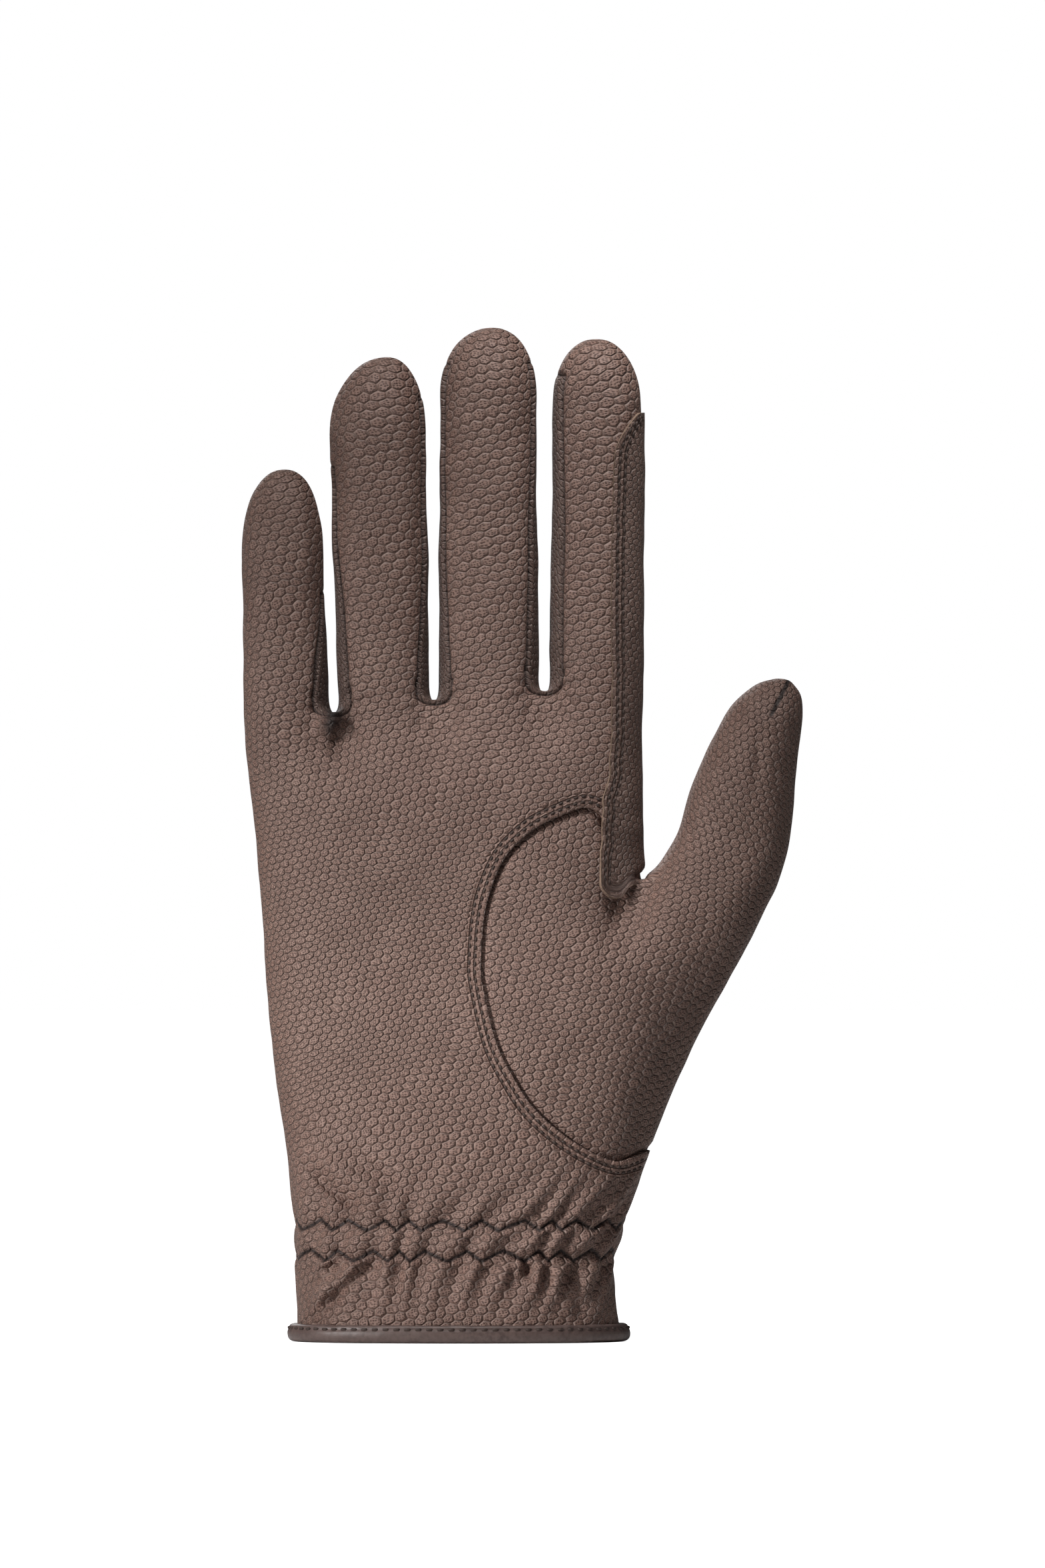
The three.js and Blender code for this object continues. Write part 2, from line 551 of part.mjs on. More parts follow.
// Lays one finger from its root to its tip
function layFinger(finger, index) {
  const first = index * (FACE_SEGMENTS + 2);
  const last = FINGERS.length - 1;
  const root = {
    front: knuckleRing.front.slice(first, first + FACE_SEGMENTS + 1),
    back: knuckleRing.back.slice(first, first + FACE_SEGMENTS + 1),
    radial: index < last ? fingerCrotches[index][0].slice(1, -1) : knuckleRing.radial,
    ulnar: index > 0 ? fingerCrotches[index - 1][2].slice(1, -1) : knuckleRing.ulnar,
  };
  const tip = rootOf(index) + finger.length;
  const straight = 1 - (finger.dome * finger.width) / finger.length;
  // The fourchettes end part of the way up: beyond them the side belongs to the palm and the back
  const sides = [
    { crotch: CROTCHES[index], reach: CROTCHES[index]?.reachLeft ?? 0 },
    { crotch: CROTCHES[index - 1], reach: CROTCHES[index - 1]?.reachRight ?? 0 },
  ];
  // The row that lies nearest to a fourchette's end moves to it
  const straightRows = FINGER_ROWS.map((row) => row * straight);
  sides.forEach(({ reach }) => {
    const distance = straightRows.map((share) => Math.abs(share - reach));
    const nearest = distance.indexOf(Math.min(...distance));
    if (reach > 0 && distance[nearest] < ROW_SNAP) straightRows[nearest] = reach;
  });
  const rows = [
    ...straightRows.map((share) => ({ share, round: 1 })),
    ...DOME_ROWS.map((row) => ({
      share: lerp(straight, 1, row),
      round: faceOf(row, DOME_SQUARENESS),
    })),
  ];
  const rings = rows.map(({ share, round }) => {
    const along = Math.min(1, share / straight);
    const width = finger.width * lerp(1, finger.taper, along) * round;
    const half = (finger.depth / 2) * lerp(1, FINGERTIP_DEPTH_SHARE, along) * round;
    const corner = Math.min(seamDepth * lerp(1, FOURCHETTE_TOP_SHARE, along) * round, half * 0.8);
    const middle = finger.middle + finger.width * (finger.lean * along + finger.tipLean * (1 - round));
    return fingerRing(middle, width, half, corner, root, share, tip);
  });
  const pieceAt = (share) => (i, count) => {
    const half = count / 2;
    const onRadial = i >= halfSide + FACE_SEGMENTS && i < half + halfSide;
    const onUlnar = i < halfSide || i >= count - halfSide;
    const side = onRadial ? sides[0] : onUlnar ? sides[1] : null;
    if (side?.crotch && share <= side.reach) return `fourchette_${side.crotch.name}`;
    return frontOrBack(i, count);
  };
  let below = loopOf(root);
  rings.forEach((ring, i) => {
    const loop = loopOf(ring);
    wrap(below, loop, pieceAt(rows[i].share), `finger_${finger.name}`);
    below = loop;
  });
  const pole = addPoint(finger.middle + finger.width * (finger.lean + finger.tipLean), 0, tip);
  wrap(below, below.map(() => pole), pieceAt(1), `finger_${finger.name}`);
}
FINGERS.forEach(layFinger);

// Lays the thumb from its root to its tip
function layThumb() {
  const root = {
    front: crotchRing.front.slice(handStations + 1),
    back: crotchRing.back.slice(handStations + 1),
    radial: crotchRing.radial,
    ulnar: thumbCrotch[2].slice(1, -1),
  };
  const rings = THUMB_SECTIONS.map((row) => {
    const x = thumbRoot.x + THUMB_REACH * row.out;
    const z = thumbRoot.z + THUMB_RISE * row.up;
    const half = (THUMB_DEPTH * row.deep) / 2;
    const corner = Math.min(seamDepth * row.deep, half * 0.8);
    const section = { middle: 0, width: THUMB_WIDTH * row.wide, half, squareness: FINGER_SQUARENESS };
    const reach = faceOf(corner / half, FINGER_SQUARENESS);
    const turn = degToRad(row.turn);
    const place = (across, y) => addPoint(x + across * Math.cos(turn), y, z + across * Math.sin(turn));
    const front = [];
    const back = [];
    for (let j = 0; j <= THUMB_SEGMENTS; j += 1) {
      const u = reach * (-1 + (2 * j) / THUMB_SEGMENTS);
      const y = half * faceOf(u, FINGER_SQUARENESS);
      front.push(place((u * section.width) / 2, -y));
      back.push(place((u * section.width) / 2, y));
    }
    const sideRing = (side) => endPoints(section, side, corner).map((p) => place(p.x, p.y));
    return { front, back, radial: sideRing(1), ulnar: sideRing(-1) };
  });
  let below = loopOf(root);
  rings.forEach((ring) => {
    const loop = loopOf(ring);
    wrap(below, loop, () => "thumb", "thumb");
    below = loop;
  });
  const pole = addPoint(thumbRoot.x + THUMB_REACH, 0, thumbRoot.z + THUMB_RISE);
  wrap(below, below.map(() => pole), () => "thumb", "thumb");
}
layThumb();

// Swells the ball of the thumb, hollows the palm and draws the folds, on the palm's face only
function bump(p, x, z, spreadX, spreadZ) {
  return Math.exp(-(((p.x - x) / spreadX) ** 2) - ((p.z - z) / spreadZ) ** 2);
}
function foldAt(p, fold) {
  const from = new THREE.Vector2(fold.fromAcross * knuckleRight, fold.fromUp * THUMB_CROTCH_HEIGHT);
  const to = new THREE.Vector2(fold.toAcross * knuckleRight, fold.toUp * THUMB_CROTCH_HEIGHT);
  const run = to.clone().sub(from);
  const rel = new THREE.Vector2(p.x, p.z).sub(from);
  const t = THREE.MathUtils.clamp(rel.dot(run) / run.lengthSq(), 0, 1);
  const off = rel.sub(run.multiplyScalar(t)).length() / (fold.half * GATHER_DEPTH);
  return fold.depth * GATHER_DEPTH * Math.exp(-off * off) * (0.35 + 0.65 * Math.sin(Math.PI * t));
}
const thenar = { x: 0.75 * knuckleRight, z: 0.76 * THUMB_CROTCH_HEIGHT };
const hollow = { x: -0.15 * knuckleRight, z: 0.9 * THUMB_CROTCH_HEIGHT };
points.forEach((p) => {
  const facing = smoothstep(-p.y, 0.2 * PALM_DEPTH, 0.45 * PALM_DEPTH);
  p.y -= facing * THENAR_SWELL * bump(p, thenar.x, thenar.z, 0.55 * knuckleRight, 0.26 * THUMB_CROTCH_HEIGHT);
  p.y += facing * PALM_HOLLOW * bump(p, hollow.x, hollow.z, 0.5 * knuckleRight, 0.3 * THUMB_CROTCH_HEIGHT);
  FOLDS.forEach((fold) => {
    p.y -= facing * foldAt(p, fold);
  });
});

// Outward direction at each point of the net
const normals = points.map(() => new THREE.Vector3());
cells.forEach(({ corners }) => {
  for (let i = 2; i < corners.length; i += 1) {
    const [a, b, c] = [points[corners[0]], points[corners[i - 1]], points[corners[i]]];
    const normal = b.clone().sub(a).cross(c.clone().sub(a));
    corners.forEach((corner) => normals[corner].add(normal));
  }
});
normals.forEach((normal) => normal.normalize());

// A closed solid from a patch of the net: its outer and inner skins lie at the given distances from the net, and
// its rim is drawn back from the patch's border by half of the seam gap
function solidFromCells(patch, outer, inner) {
  const edges = new Map();
  patch.forEach(({ corners }) => {
    corners.forEach((a, i) => {
      const b = corners[(i + 1) % corners.length];
      edges.set(`${a},${b}`, [a, b]);
    });
  });
  const border = [...edges.values()].filter(([a, b]) => !edges.has(`${b},${a}`));
  const inwards = new Map(border.flat().map((index) => [index, new THREE.Vector3()]));
  patch.forEach(({ corners }) => {
    const centre = new THREE.Vector3();
    corners.forEach((corner) => centre.addScaledVector(points[corner], 1 / corners.length));
    corners.forEach((corner) => {
      if (inwards.has(corner)) inwards.get(corner).add(centre.clone().sub(points[corner]).normalize());
    });
  });
  const positions = [];
  const index = [];
  const ids = new Map();
  const vertex = (corner, layer) => {
    const key = `${corner},${layer}`;
    if (!ids.has(key)) {
      const p = points[corner].clone().addScaledVector(normals[corner], layer ? inner : outer);
      if (inwards.has(corner)) {
        const draw = inwards.get(corner);
        draw.addScaledVector(normals[corner], -draw.dot(normals[corner]));
        if (draw.lengthSq() > 1e-9) p.addScaledVector(draw.clone().normalize(), SEAM_GAP / 2);
      }
      ids.set(key, positions.length / 3);
      positions.push(p.x, p.y, p.z);
    }
    return ids.get(key);
  };
  patch.forEach(({ corners }) => {
    for (let i = 2; i < corners.length; i += 1) {
      const [a, b, c] = [corners[0], corners[i - 1], corners[i]];
      index.push(vertex(a, 0), vertex(b, 0), vertex(c, 0));
      index.push(vertex(a, 1), vertex(c, 1), vertex(b, 1));
    }
  });
  border.forEach(([a, b]) => {
    index.push(vertex(b, 0), vertex(a, 0), vertex(a, 1));
    index.push(vertex(b, 0), vertex(a, 1), vertex(b, 1));
  });
  return new wasm.Manifold(
    new wasm.Mesh({
      numProp: 3,
      vertProperties: new Float32Array(positions),
      triVerts: new Uint32Array(index),
    }),
  );
}

// A closed three.js geometry as a solid, for the cuts
function solidOf(geometry) {
  const bare = geometry.clone();
  bare.deleteAttribute("normal");
  bare.deleteAttribute("uv");
  const merged = mergeVertices(bare, 1e-4);
  return new wasm.Manifold(
    new wasm.Mesh({
      numProp: 3,
      vertProperties: new Float32Array(merged.attributes.position.array),
      triVerts: new Uint32Array(merged.index.array),
    }),
  );
}
function geometryOf(solid) {
  const mesh = solid.getMesh();
  const position = new Float32Array(mesh.numVert * 3);
  for (let i = 0; i < mesh.numVert; i += 1) {
    position.set(mesh.vertProperties.subarray(i * mesh.numProp, i * mesh.numProp + 3), i * 3);
  }
  const geometry = new THREE.BufferGeometry();
  geometry.setAttribute("position", new THREE.BufferAttribute(position, 3));
  geometry.setIndex(new THREE.BufferAttribute(new Uint32Array(mesh.triVerts), 1));
  geometry.computeVertexNormals();
  return geometry;
}

// A cutter: an outline drawn on the palm's face, run right through the glove from front to back
const throughDepth = 4 * CUFF_DEPTH;
function cutter(outline) {
  const geometry = new THREE.ExtrudeGeometry(new THREE.Shape(outline), {
    depth: throughDepth,
    bevelEnabled: false,
  });
  geometry.rotateX(Math.PI / 2);
  geometry.translate(0, throughDepth / 2, 0);
  return solidOf(geometry);
}

// The thumb's outline: the seam round its ball, under the side patch to the glove's side, and then all that lies
// outside the index finger's side. A positive grow widens it.
const seamPoints = THUMB_SEAM.map(
  ({ across, up }) => new THREE.Vector2(across * knuckleRight, up * THUMB_CROTCH_HEIGHT),
);
const thumbTop = thumbRoot.z + THUMB_RISE + WALL;
const beyond = thumbRight + THUMB_REACH;
const SEAM_STEPS = 32;
function thumbOutline(grow) {
  const curve = new THREE.SplineCurve(seamPoints);
  const inside = new THREE.Vector2(thumbLeft, 0.8 * THUMB_CROTCH_HEIGHT);
  const seam = curve.getSpacedPoints(SEAM_STEPS).map((p, i) => {
    const along = curve.getTangentAt(i / SEAM_STEPS);
    const out = new THREE.Vector2(along.y, -along.x);
    if (out.dot(p.clone().sub(inside)) < 0) out.negate();
    return p.addScaledVector(out, grow);
  });
  const sideHeight = seamPoints[seamPoints.length - 1].y;
  return [
    ...seam,
    new THREE.Vector2(knuckleRight + grow, sideHeight - PATCH_WALL + grow),
    new THREE.Vector2(thumbLeft - THUMB_GAP / 2, sideHeight + grow),
    new THREE.Vector2(thumbLeft - THUMB_GAP / 2, thumbTop),
    new THREE.Vector2(beyond, thumbTop),
    new THREE.Vector2(beyond, seamPoints[0].y - grow),
  ];
}
const thumbCutter = cutter(thumbOutline(0));
const thumbOpening = cutter(thumbOutline(SEAM_GAP));

// The side patch's outline on the palm's face: a straight inner edge that steps in at the thumb, a rounded top
// corner, and a lower end that rises to the crotch
const patchSide = knuckleRight + PATCH_CLEARANCE + PATCH_WALL;
const patchInner = patchSide - PATCH_FACE;
function patchOutline() {
  const shape = new THREE.Shape();
  shape.moveTo(patchInner - 0.3 * PATCH_FACE, PATCH_BOTTOM);
  shape.lineTo(patchInner - 0.2 * PATCH_FACE, THUMB_CROTCH_HEIGHT + PATCH_FACE);
  shape.lineTo(patchInner, THUMB_CROTCH_HEIGHT + 3 * PATCH_FACE);
  shape.lineTo(patchInner, PATCH_TOP - PATCH_CORNER);
  shape.quadraticCurveTo(patchInner, PATCH_TOP, patchSide, PATCH_TOP);
  shape.lineTo(beyond, PATCH_TOP);
  shape.lineTo(beyond, THUMB_CROTCH_HEIGHT + THUMB_GAP / 2);
  shape.lineTo(knuckleRight - 0.3 * PATCH_FACE, THUMB_CROTCH_HEIGHT + THUMB_GAP / 2);
  shape.lineTo(knuckleRight - 0.6 * PATCH_FACE, PATCH_BOTTOM);
  return shape.getPoints(6);
}

// The cells that a piece is cut from
const cellsOf = (piece) => cells.filter((cell) => cell.piece === piece);
const meanX = (cell) => cell.corners.reduce((sum, corner) => sum + points[corner].x, 0) / cell.corners.length;
const thumbCells = cells.filter(
  (cell) =>
    cell.piece === "thumb" ||
    (cell.zone === "lower" && meanX(cell) > -0.3 * knuckleRight) ||
    (cell.zone === "upper" && meanX(cell) > -0.3 * knuckleRight),
);
const indexFrom = FINGERS[3].middle - 0.1 * FINGERS[3].width;
const patchCells = cells.filter((cell) => {
  const x = meanX(cell);
  if (cell.zone === "finger_index" || cell.zone === "upper") return x > indexFrom;
  if (cell.zone !== "lower") return false;
  const lowest = Math.min(...cell.corners.map((corner) => points[corner].z));
  return x > indexFrom && x < knuckleRight && lowest > 0.9 * THUMB_CROTCH_HEIGHT;
});

// The binding: a rolled strip with a slot for the shell's edge, swept round the hem
function bindingGeometry() {
  const outside = BINDING_THICKNESS / 2;
  const slot = WALL / 2 + BINDING_CLEARANCE;
  const foot = BINDING_FOOT / 2;
  const top = BINDING_HEIGHT;
  // The section, from the slot's outer lip round the outside, under and up again. x points out of the glove.
  const profile = [
    [slot, top],
    [lerp(slot, outside, 0.65), 0.95 * top],
    [outside, 0.68 * top],
    [outside, 0.3 * top],
    [foot, 0],
    [-foot, 0],
    [-outside, 0.3 * top],
    [-outside, 0.68 * top],
    [-lerp(slot, outside, 0.65), 0.95 * top],
    [-slot, top],
    [-slot, BINDING_FLOOR],
    [slot, BINDING_FLOOR],
  ];
  const round = outlineOf(lowerSection(shellStart / THUMB_CROTCH_HEIGHT), HEM_COLUMNS);
  const position = [];
  round.forEach((p) => {
    profile.forEach(([out, z]) => {
      position.push(p.x + p.outX * (out - WALL / 2), p.y + p.outY * (out - WALL / 2), z);
    });
  });
  const index = [];
  round.forEach((_, i) => {
    profile.forEach((__, j) => {
      const ni = (i + 1) % round.length;
      const nj = (j + 1) % profile.length;
      const at = (column, row) => column * profile.length + row;
      index.push(at(i, j), at(i, nj), at(ni, j));
      index.push(at(ni, j), at(i, nj), at(ni, nj));
    });
  });
  const geometry = new THREE.BufferGeometry();
  geometry.setAttribute("position", new THREE.Float32BufferAttribute(position, 3));
  geometry.setIndex(index);
  geometry.computeVertexNormals();
  return geometry;
}

// Materials
const embossedLeather = new THREE.MeshStandardMaterial({ color: 0x6d574d, roughness: 0.62, metalness: 0 });
const bindingLeather = new THREE.MeshStandardMaterial({ color: 0x4a3c38, roughness: 0.45, metalness: 0 });

// The glove
const glove = new THREE.Group();
glove.name = "riding_glove";
function addPiece(name, geometry, material) {
  const mesh = new THREE.Mesh(geometry, material);
  mesh.name = name;
  glove.add(mesh);
}
// Small flakes that a cut leaves beside a piece are dropped
function largest(solid) {
  return solid.decompose().reduce((best, part) => (part.volume() > best.volume() ? part : best));
}
const palm = solidFromCells(cellsOf("palm"), 0, -WALL).subtract(thumbOpening);
const back = solidFromCells(cellsOf("back"), 0, -WALL).subtract(thumbOpening);
const thumb = solidFromCells(thumbCells, 0, -WALL).intersect(thumbCutter);
const patch = solidFromCells(patchCells, PATCH_CLEARANCE + PATCH_WALL, PATCH_CLEARANCE).intersect(
  cutter(patchOutline()),
);
addPiece("palm_panel", geometryOf(largest(palm)), embossedLeather);
addPiece("back_panel", geometryOf(largest(back)), embossedLeather);
addPiece("thumb_piece", geometryOf(largest(thumb)), embossedLeather);
CROTCHES.forEach(({ name }) => {
  const piece = `fourchette_${name}`;
  addPiece(piece, geometryOf(solidFromCells(cellsOf(piece), 0, -WALL)), embossedLeather);
});
addPiece("index_side_patch", geometryOf(largest(patch)), embossedLeather);
addPiece("hem_binding", bindingGeometry(), bindingLeather);

export default glove;
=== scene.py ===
"""Dresses a right-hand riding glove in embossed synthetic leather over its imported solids.

One coarse net of points is laid over the whole glove, subdivided, and parted along its seams into the sewn
leather pieces. Each piece then gets its gathers, folds and turned edges. The side patch, the rolled binding
round the hem and the stitches are laid on what is there. Sizes are in millimetres until a mesh is made.
"""

from __future__ import annotations

import logging
import math
from collections.abc import Callable, Iterator, Sequence
from contextlib import contextmanager
from dataclasses import dataclass, field
from enum import Enum

import bpy
import numpy as np
from bpy.types import Material, Mesh, Node, NodeSocket, NodeTree, Object
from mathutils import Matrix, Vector, noise
from mathutils.bvhtree import BVHTree
from mathutils.kdtree import KDTree

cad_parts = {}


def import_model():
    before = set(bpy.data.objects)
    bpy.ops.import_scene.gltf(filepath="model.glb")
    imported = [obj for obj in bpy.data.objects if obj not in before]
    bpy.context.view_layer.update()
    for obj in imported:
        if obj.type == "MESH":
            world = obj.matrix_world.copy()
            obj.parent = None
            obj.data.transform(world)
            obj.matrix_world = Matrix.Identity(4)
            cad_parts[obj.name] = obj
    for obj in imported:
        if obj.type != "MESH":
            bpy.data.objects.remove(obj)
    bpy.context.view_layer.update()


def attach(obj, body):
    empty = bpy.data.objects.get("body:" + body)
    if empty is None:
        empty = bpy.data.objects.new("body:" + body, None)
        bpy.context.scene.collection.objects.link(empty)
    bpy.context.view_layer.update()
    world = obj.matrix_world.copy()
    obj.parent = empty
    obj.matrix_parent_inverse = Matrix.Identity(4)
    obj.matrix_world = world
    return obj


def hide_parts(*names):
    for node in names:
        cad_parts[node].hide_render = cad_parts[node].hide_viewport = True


LOG = logging.getLogger("riding_glove")
MM = 0.001
FAR = 40.0
TINY = 1e-6
OUTLINE_STEPS = 1440
SIDE_STEP = 0.4
RAY_START = 70.0
SQUARE_ENOUGH = 0.3
CROWDING = 0.86
ZIGZAG_SLOPE = 0.84
SEAM_REACH = 2.5
SEAM_STEP = 1.5
SEAM_ROUNDS = 3
ANGLE_KEPT_SHARP = math.radians(50)

Points = np.ndarray
Value = float | np.ndarray
Line = list[int]


def lerp(a: Value, b: Value, t: Value) -> Value:
    """Return the value at share t of the way from a to b."""
    return a + (b - a) * t


def smoothstep(value: Value, low: float, high: float) -> Value:
    """Return a smooth step from 0 at low to 1 at high."""
    t = np.clip((value - low) / (high - low), 0.0, 1.0)
    return t * t * (3.0 - 2.0 * t)


def bell(distance: Value, half: float) -> Value:
    """Return a bell of height 1 whose half-width is half."""
    return np.exp(-((distance / half) ** 2))


def across_face(segments: int) -> Points:
    """Return places from -1 to 1 across a face, closer together towards its ends."""
    turn = np.pi / 2 * CROWDING
    return np.sin(np.linspace(-turn, turn, segments + 1)) / math.sin(turn)


def rounded(u: Value, squareness: float) -> Value:
    """Return the half-depth of a rounded section at u, which runs from -1 to 1 across it."""
    return np.maximum(0.0, 1.0 - np.abs(u) ** squareness) ** (1.0 / squareness)


def signed_power(value: Points, power: float) -> Points:
    """Return a value's size raised to a power, with its sign kept."""
    return np.sign(value) * np.abs(value) ** power


def run_of(line: Points) -> Points:
    """Return the length run along a line to each of its points."""
    return np.concatenate([[0.0], np.cumsum(np.linalg.norm(np.diff(line, axis=0), axis=1))])


def read_along(line: Points, length: Points, at: Value) -> Points:
    """Return a line's places at some lengths along it."""
    return np.stack([np.interp(at, length, column) for column in line.T], axis=-1)


class Table:
    """A short table with named columns, read smoothly between its rows by its first column."""

    def __init__(self, columns: str, *rows: tuple[float, ...]) -> None:
        """Keep the rows under their columns' names."""
        self.names = columns.split()
        self.rows = np.array(rows)

    def at(self, column: str, place: float) -> float:
        """Read one column at a place.

        Args:
            column: The column's name.
            place: Where to read it, in the first column's terms.

        Returns:
            The value, on a smooth curve through the rows.
        """
        x = self.rows[:, 0]
        y = self.rows[:, self.names.index(column)]
        slope = np.gradient(y, x)
        i = int(np.clip(np.searchsorted(x, place, side="right") - 1, 0, len(x) - 2))
        step = x[i + 1] - x[i]
        t = (place - x[i]) / step
        start = (1 + 2 * t) * (1 - t) ** 2 * y[i] + t * (1 - t) ** 2 * step * slope[i]
        end = t * t * (3 - 2 * t) * y[i + 1] + t * t * (t - 1) * step * slope[i + 1]
        return float(start + end)


class Piece(Enum):
    """The sewn pieces that the net is parted into, by the order of their material slots."""

    PALM = 0
    BACK = 1
    LITTLE_RING = 2
    RING_MIDDLE = 3
    MIDDLE_INDEX = 4
    THUMB = 5


GUSSETS = (Piece.LITTLE_RING, Piece.RING_MIDDLE, Piece.MIDDLE_INDEX)
PieceRule = Callable[[int, int], Piece]


@dataclass(frozen=True)
class Section:
    """A rounded section through the glove or through one finger."""

    middle: float
    width: float
    half: float
    squareness: float

    def depth_at(self, x: Points) -> Points:
        """Return the half-depth at each x."""
        return self.half * rounded((x - self.middle) / (self.width / 2), self.squareness)

    def end(self, side: int, corner: float, segments: int) -> Points:
        """Place the points round one end of the section.

        Args:
            side: -1 for the end towards the little finger, 1 for the end towards the thumb.
            corner: How far in front of the middle and behind it the end's seams lie.
            segments: How many segments lie between the two seams.

        Returns:
            Rows of x and y, from the front seam to the back seam, without the seams themselves.
        """
        y = -corner * np.cos(np.pi * np.arange(1, segments) / segments)
        u = rounded(np.minimum(1.0, np.abs(y) / self.half), self.squareness)
        return np.column_stack([self.middle + side * u * self.width / 2, y])

    def outline(self) -> tuple[Points, Points]:
        """Return points round the section, from the little finger over the palm, and the length to each."""
        turn = np.linspace(0.0, 2 * np.pi, OUTLINE_STEPS + 1)
        power = 2 / self.squareness
        x = self.middle - signed_power(np.cos(turn), power) * self.width / 2
        y = -signed_power(np.sin(turn), power) * self.half
        line = np.column_stack([x, y])
        return line, run_of(line)


@dataclass(frozen=True)
class Finger:
    """One finger: its width, depth and length as shares of the middle finger's, the rest of its own width.

    The glove's fingers run from the little finger to the index finger.
    """

    wide: float
    deep: float
    long: float
    lean: float
    tip_lean: float
    taper: float
    dome: float


@dataclass(frozen=True)
class Crotch:
    """One gap between two fingers, with how far its fourchette reaches up each of them."""

    piece: Piece
    up: float
    wide: float
    reach: tuple[float, float]
    half_way: tuple[float, float]
    at_end: tuple[float, float]


@dataclass(frozen=True)
class Ring:
    """One row of the net: its palm line, back line, and the points round its two ends."""

    front: Line
    back: Line
    radial: Line
    ulnar: Line

    def loop(self) -> Line:
        """Return the row as a loop that starts in the middle of the end towards the little finger."""
        half = (len(self.ulnar) + 1) // 2
        near = self.ulnar[:half][::-1]
        far = self.ulnar[half:][::-1]
        return [*near, *self.front, *self.radial, *self.back[::-1], *far]


@dataclass
class GloveNet:
    """The coarse net over the glove's outer surface, with the leather piece of each of its cells."""

    cuff_width: float = 76.2
    cuff_depth: float = 44.0
    palm_depth: float = 30.0
    knuckle_depth: float = 25.0
    knuckle_shift: float = -3.9
    thumb_crotch: float = 109.5
    finger_width: float = 23.9
    finger_depth: float = 19.0
    finger_length: float = 86.6
    crotch_height: float = 154.6
    crotch_gap: float = 2.3
    fourchette_width: float = 14.0
    thin_end: float = 1.5
    thumb_width: float = 29.0
    thumb_depth: float = 24.0
    thumb_rise: float = 50.2
    thumb_reach: float = 16.0
    thumb_gap: float = 1.7
    thumb_drop: float = 5.7
    palm_squareness: float = 2.35
    finger_squareness: float = 2.4
    dome_squareness: float = 2.15
    face_segments: int = 4
    side_segments: int = 4
    thumb_segments: int = 6
    row_step: float = 6.4
    pattern_column: int = 11
    hold_shares: tuple[float, ...] = (0.9, 0.7)
    hold_reach: float = 1.2
    hold_room: float = 0.35
    fingers: tuple[Finger, ...] = (
        Finger(0.858, 0.863, 0.656, -0.0585, 0.049, 0.93, 0.907),
        Finger(0.908, 0.968, 0.947, -0.0645, 0.101, 1.05, 0.899),
        Finger(1.0, 1.0, 1.0, -0.008, 0.042, 0.955, 0.736),
        Finger(0.9, 0.979, 0.9515, 0.028, -0.019, 0.99, 0.8),
    )
    crotches: tuple[Crotch, ...] = (
        Crotch(Piece.LITTLE_RING, 0.9664, 0.783, (0.5, 0.69), (0.85, 0.8), (0.08, 0.08)),
        Crotch(Piece.RING_MIDDLE, 0.9845, 0.913, (0.93, 0.93), (0.5, 0.62), (0.2, 0.3)),
        Crotch(Piece.MIDDLE_INDEX, 1.0, 1.0, (0.93, 0.93), (0.8, 1.0), (0.3, 0.85)),
    )
    lower_sections: Table = Table(
        "up ulnar radial deep",
        (0.0, 0.0, 0.015, 0.0), (0.14, 0.03, -0.03, 0.2), (0.19, 0.05, -0.02, 0.28),
        (0.25, 0.06, 0.03, 0.35), (0.32, 0.11, 0.09, 0.45), (0.4, 0.2, 0.17, 0.56),
        (0.5, 0.33, 0.28, 0.68), (0.6, 0.44, 0.4, 0.79), (0.7, 0.53, 0.535, 0.88), (0.8, 0.6, 0.69, 0.94),
        (0.9, 0.655, 0.85, 0.98), (1.0, 0.72, 1.0, 1.0),
    )
    upper_sections: Table = Table(
        "up ulnar deep",
        (0.0, 0.72, 0.0), (0.3, 0.8, 0.15), (0.6, 0.91, 0.45), (0.85, 0.98, 0.8), (1.0, 1.0, 1.0),
    )
    thumb_sections: Table = Table(
        "up out wide deep turn",
        (0.0, 0.0, 1.0, 1.0, -11.0), (0.11, 0.19, 1.0, 0.98, -6.0), (0.22, 0.34, 0.935, 0.96, -4.0),
        (0.38, 0.45, 0.87, 0.94, -2.0), (0.54, 0.55, 0.81, 0.91, -1.0), (0.7, 0.68, 0.735, 0.86, 1.0),
        (0.83, 0.81, 0.64, 0.77, 3.0), (0.93, 0.905, 0.47, 0.58, 5.0), (0.985, 0.975, 0.24, 0.31, 4.0),
    )
    hem_rows: tuple[float, ...] = (2.3, 4.6, 8.0, 11.5, 15.0, 18.5, 22.0, 25.5, 29.0, 33.0, 37.5)
    hand_scales: Table = Table(
        "up wide tall",
        (-20.0, 0.98, 1.05), (20.0, 0.98, 1.05), (45.0, 0.93, 0.98), (75.0, 0.8, 0.8), (120.0, 0.8, 0.79),
        (150.0, 0.93, 0.93), (175.0, 1.03, 1.04), (330.0, 1.03, 1.04),
    )
    thumb_scales: Table = Table(
        "up wide tall",
        (-20.0, 1.0, 1.0), (40.0, 1.0, 1.0), (70.0, 0.95, 0.88), (105.0, 0.9, 0.86), (130.0, 0.75, 0.95),
        (330.0, 0.75, 0.95),
    )
    dome_rows: tuple[float, ...] = (0.26, 0.5, 0.71, 0.87, 0.966)
    thumb_rows: tuple[float, ...] = (0.07, 0.16, 0.26, 0.36, 0.47, 0.58, 0.69, 0.78, 0.85, 0.91, 0.955, 0.985)

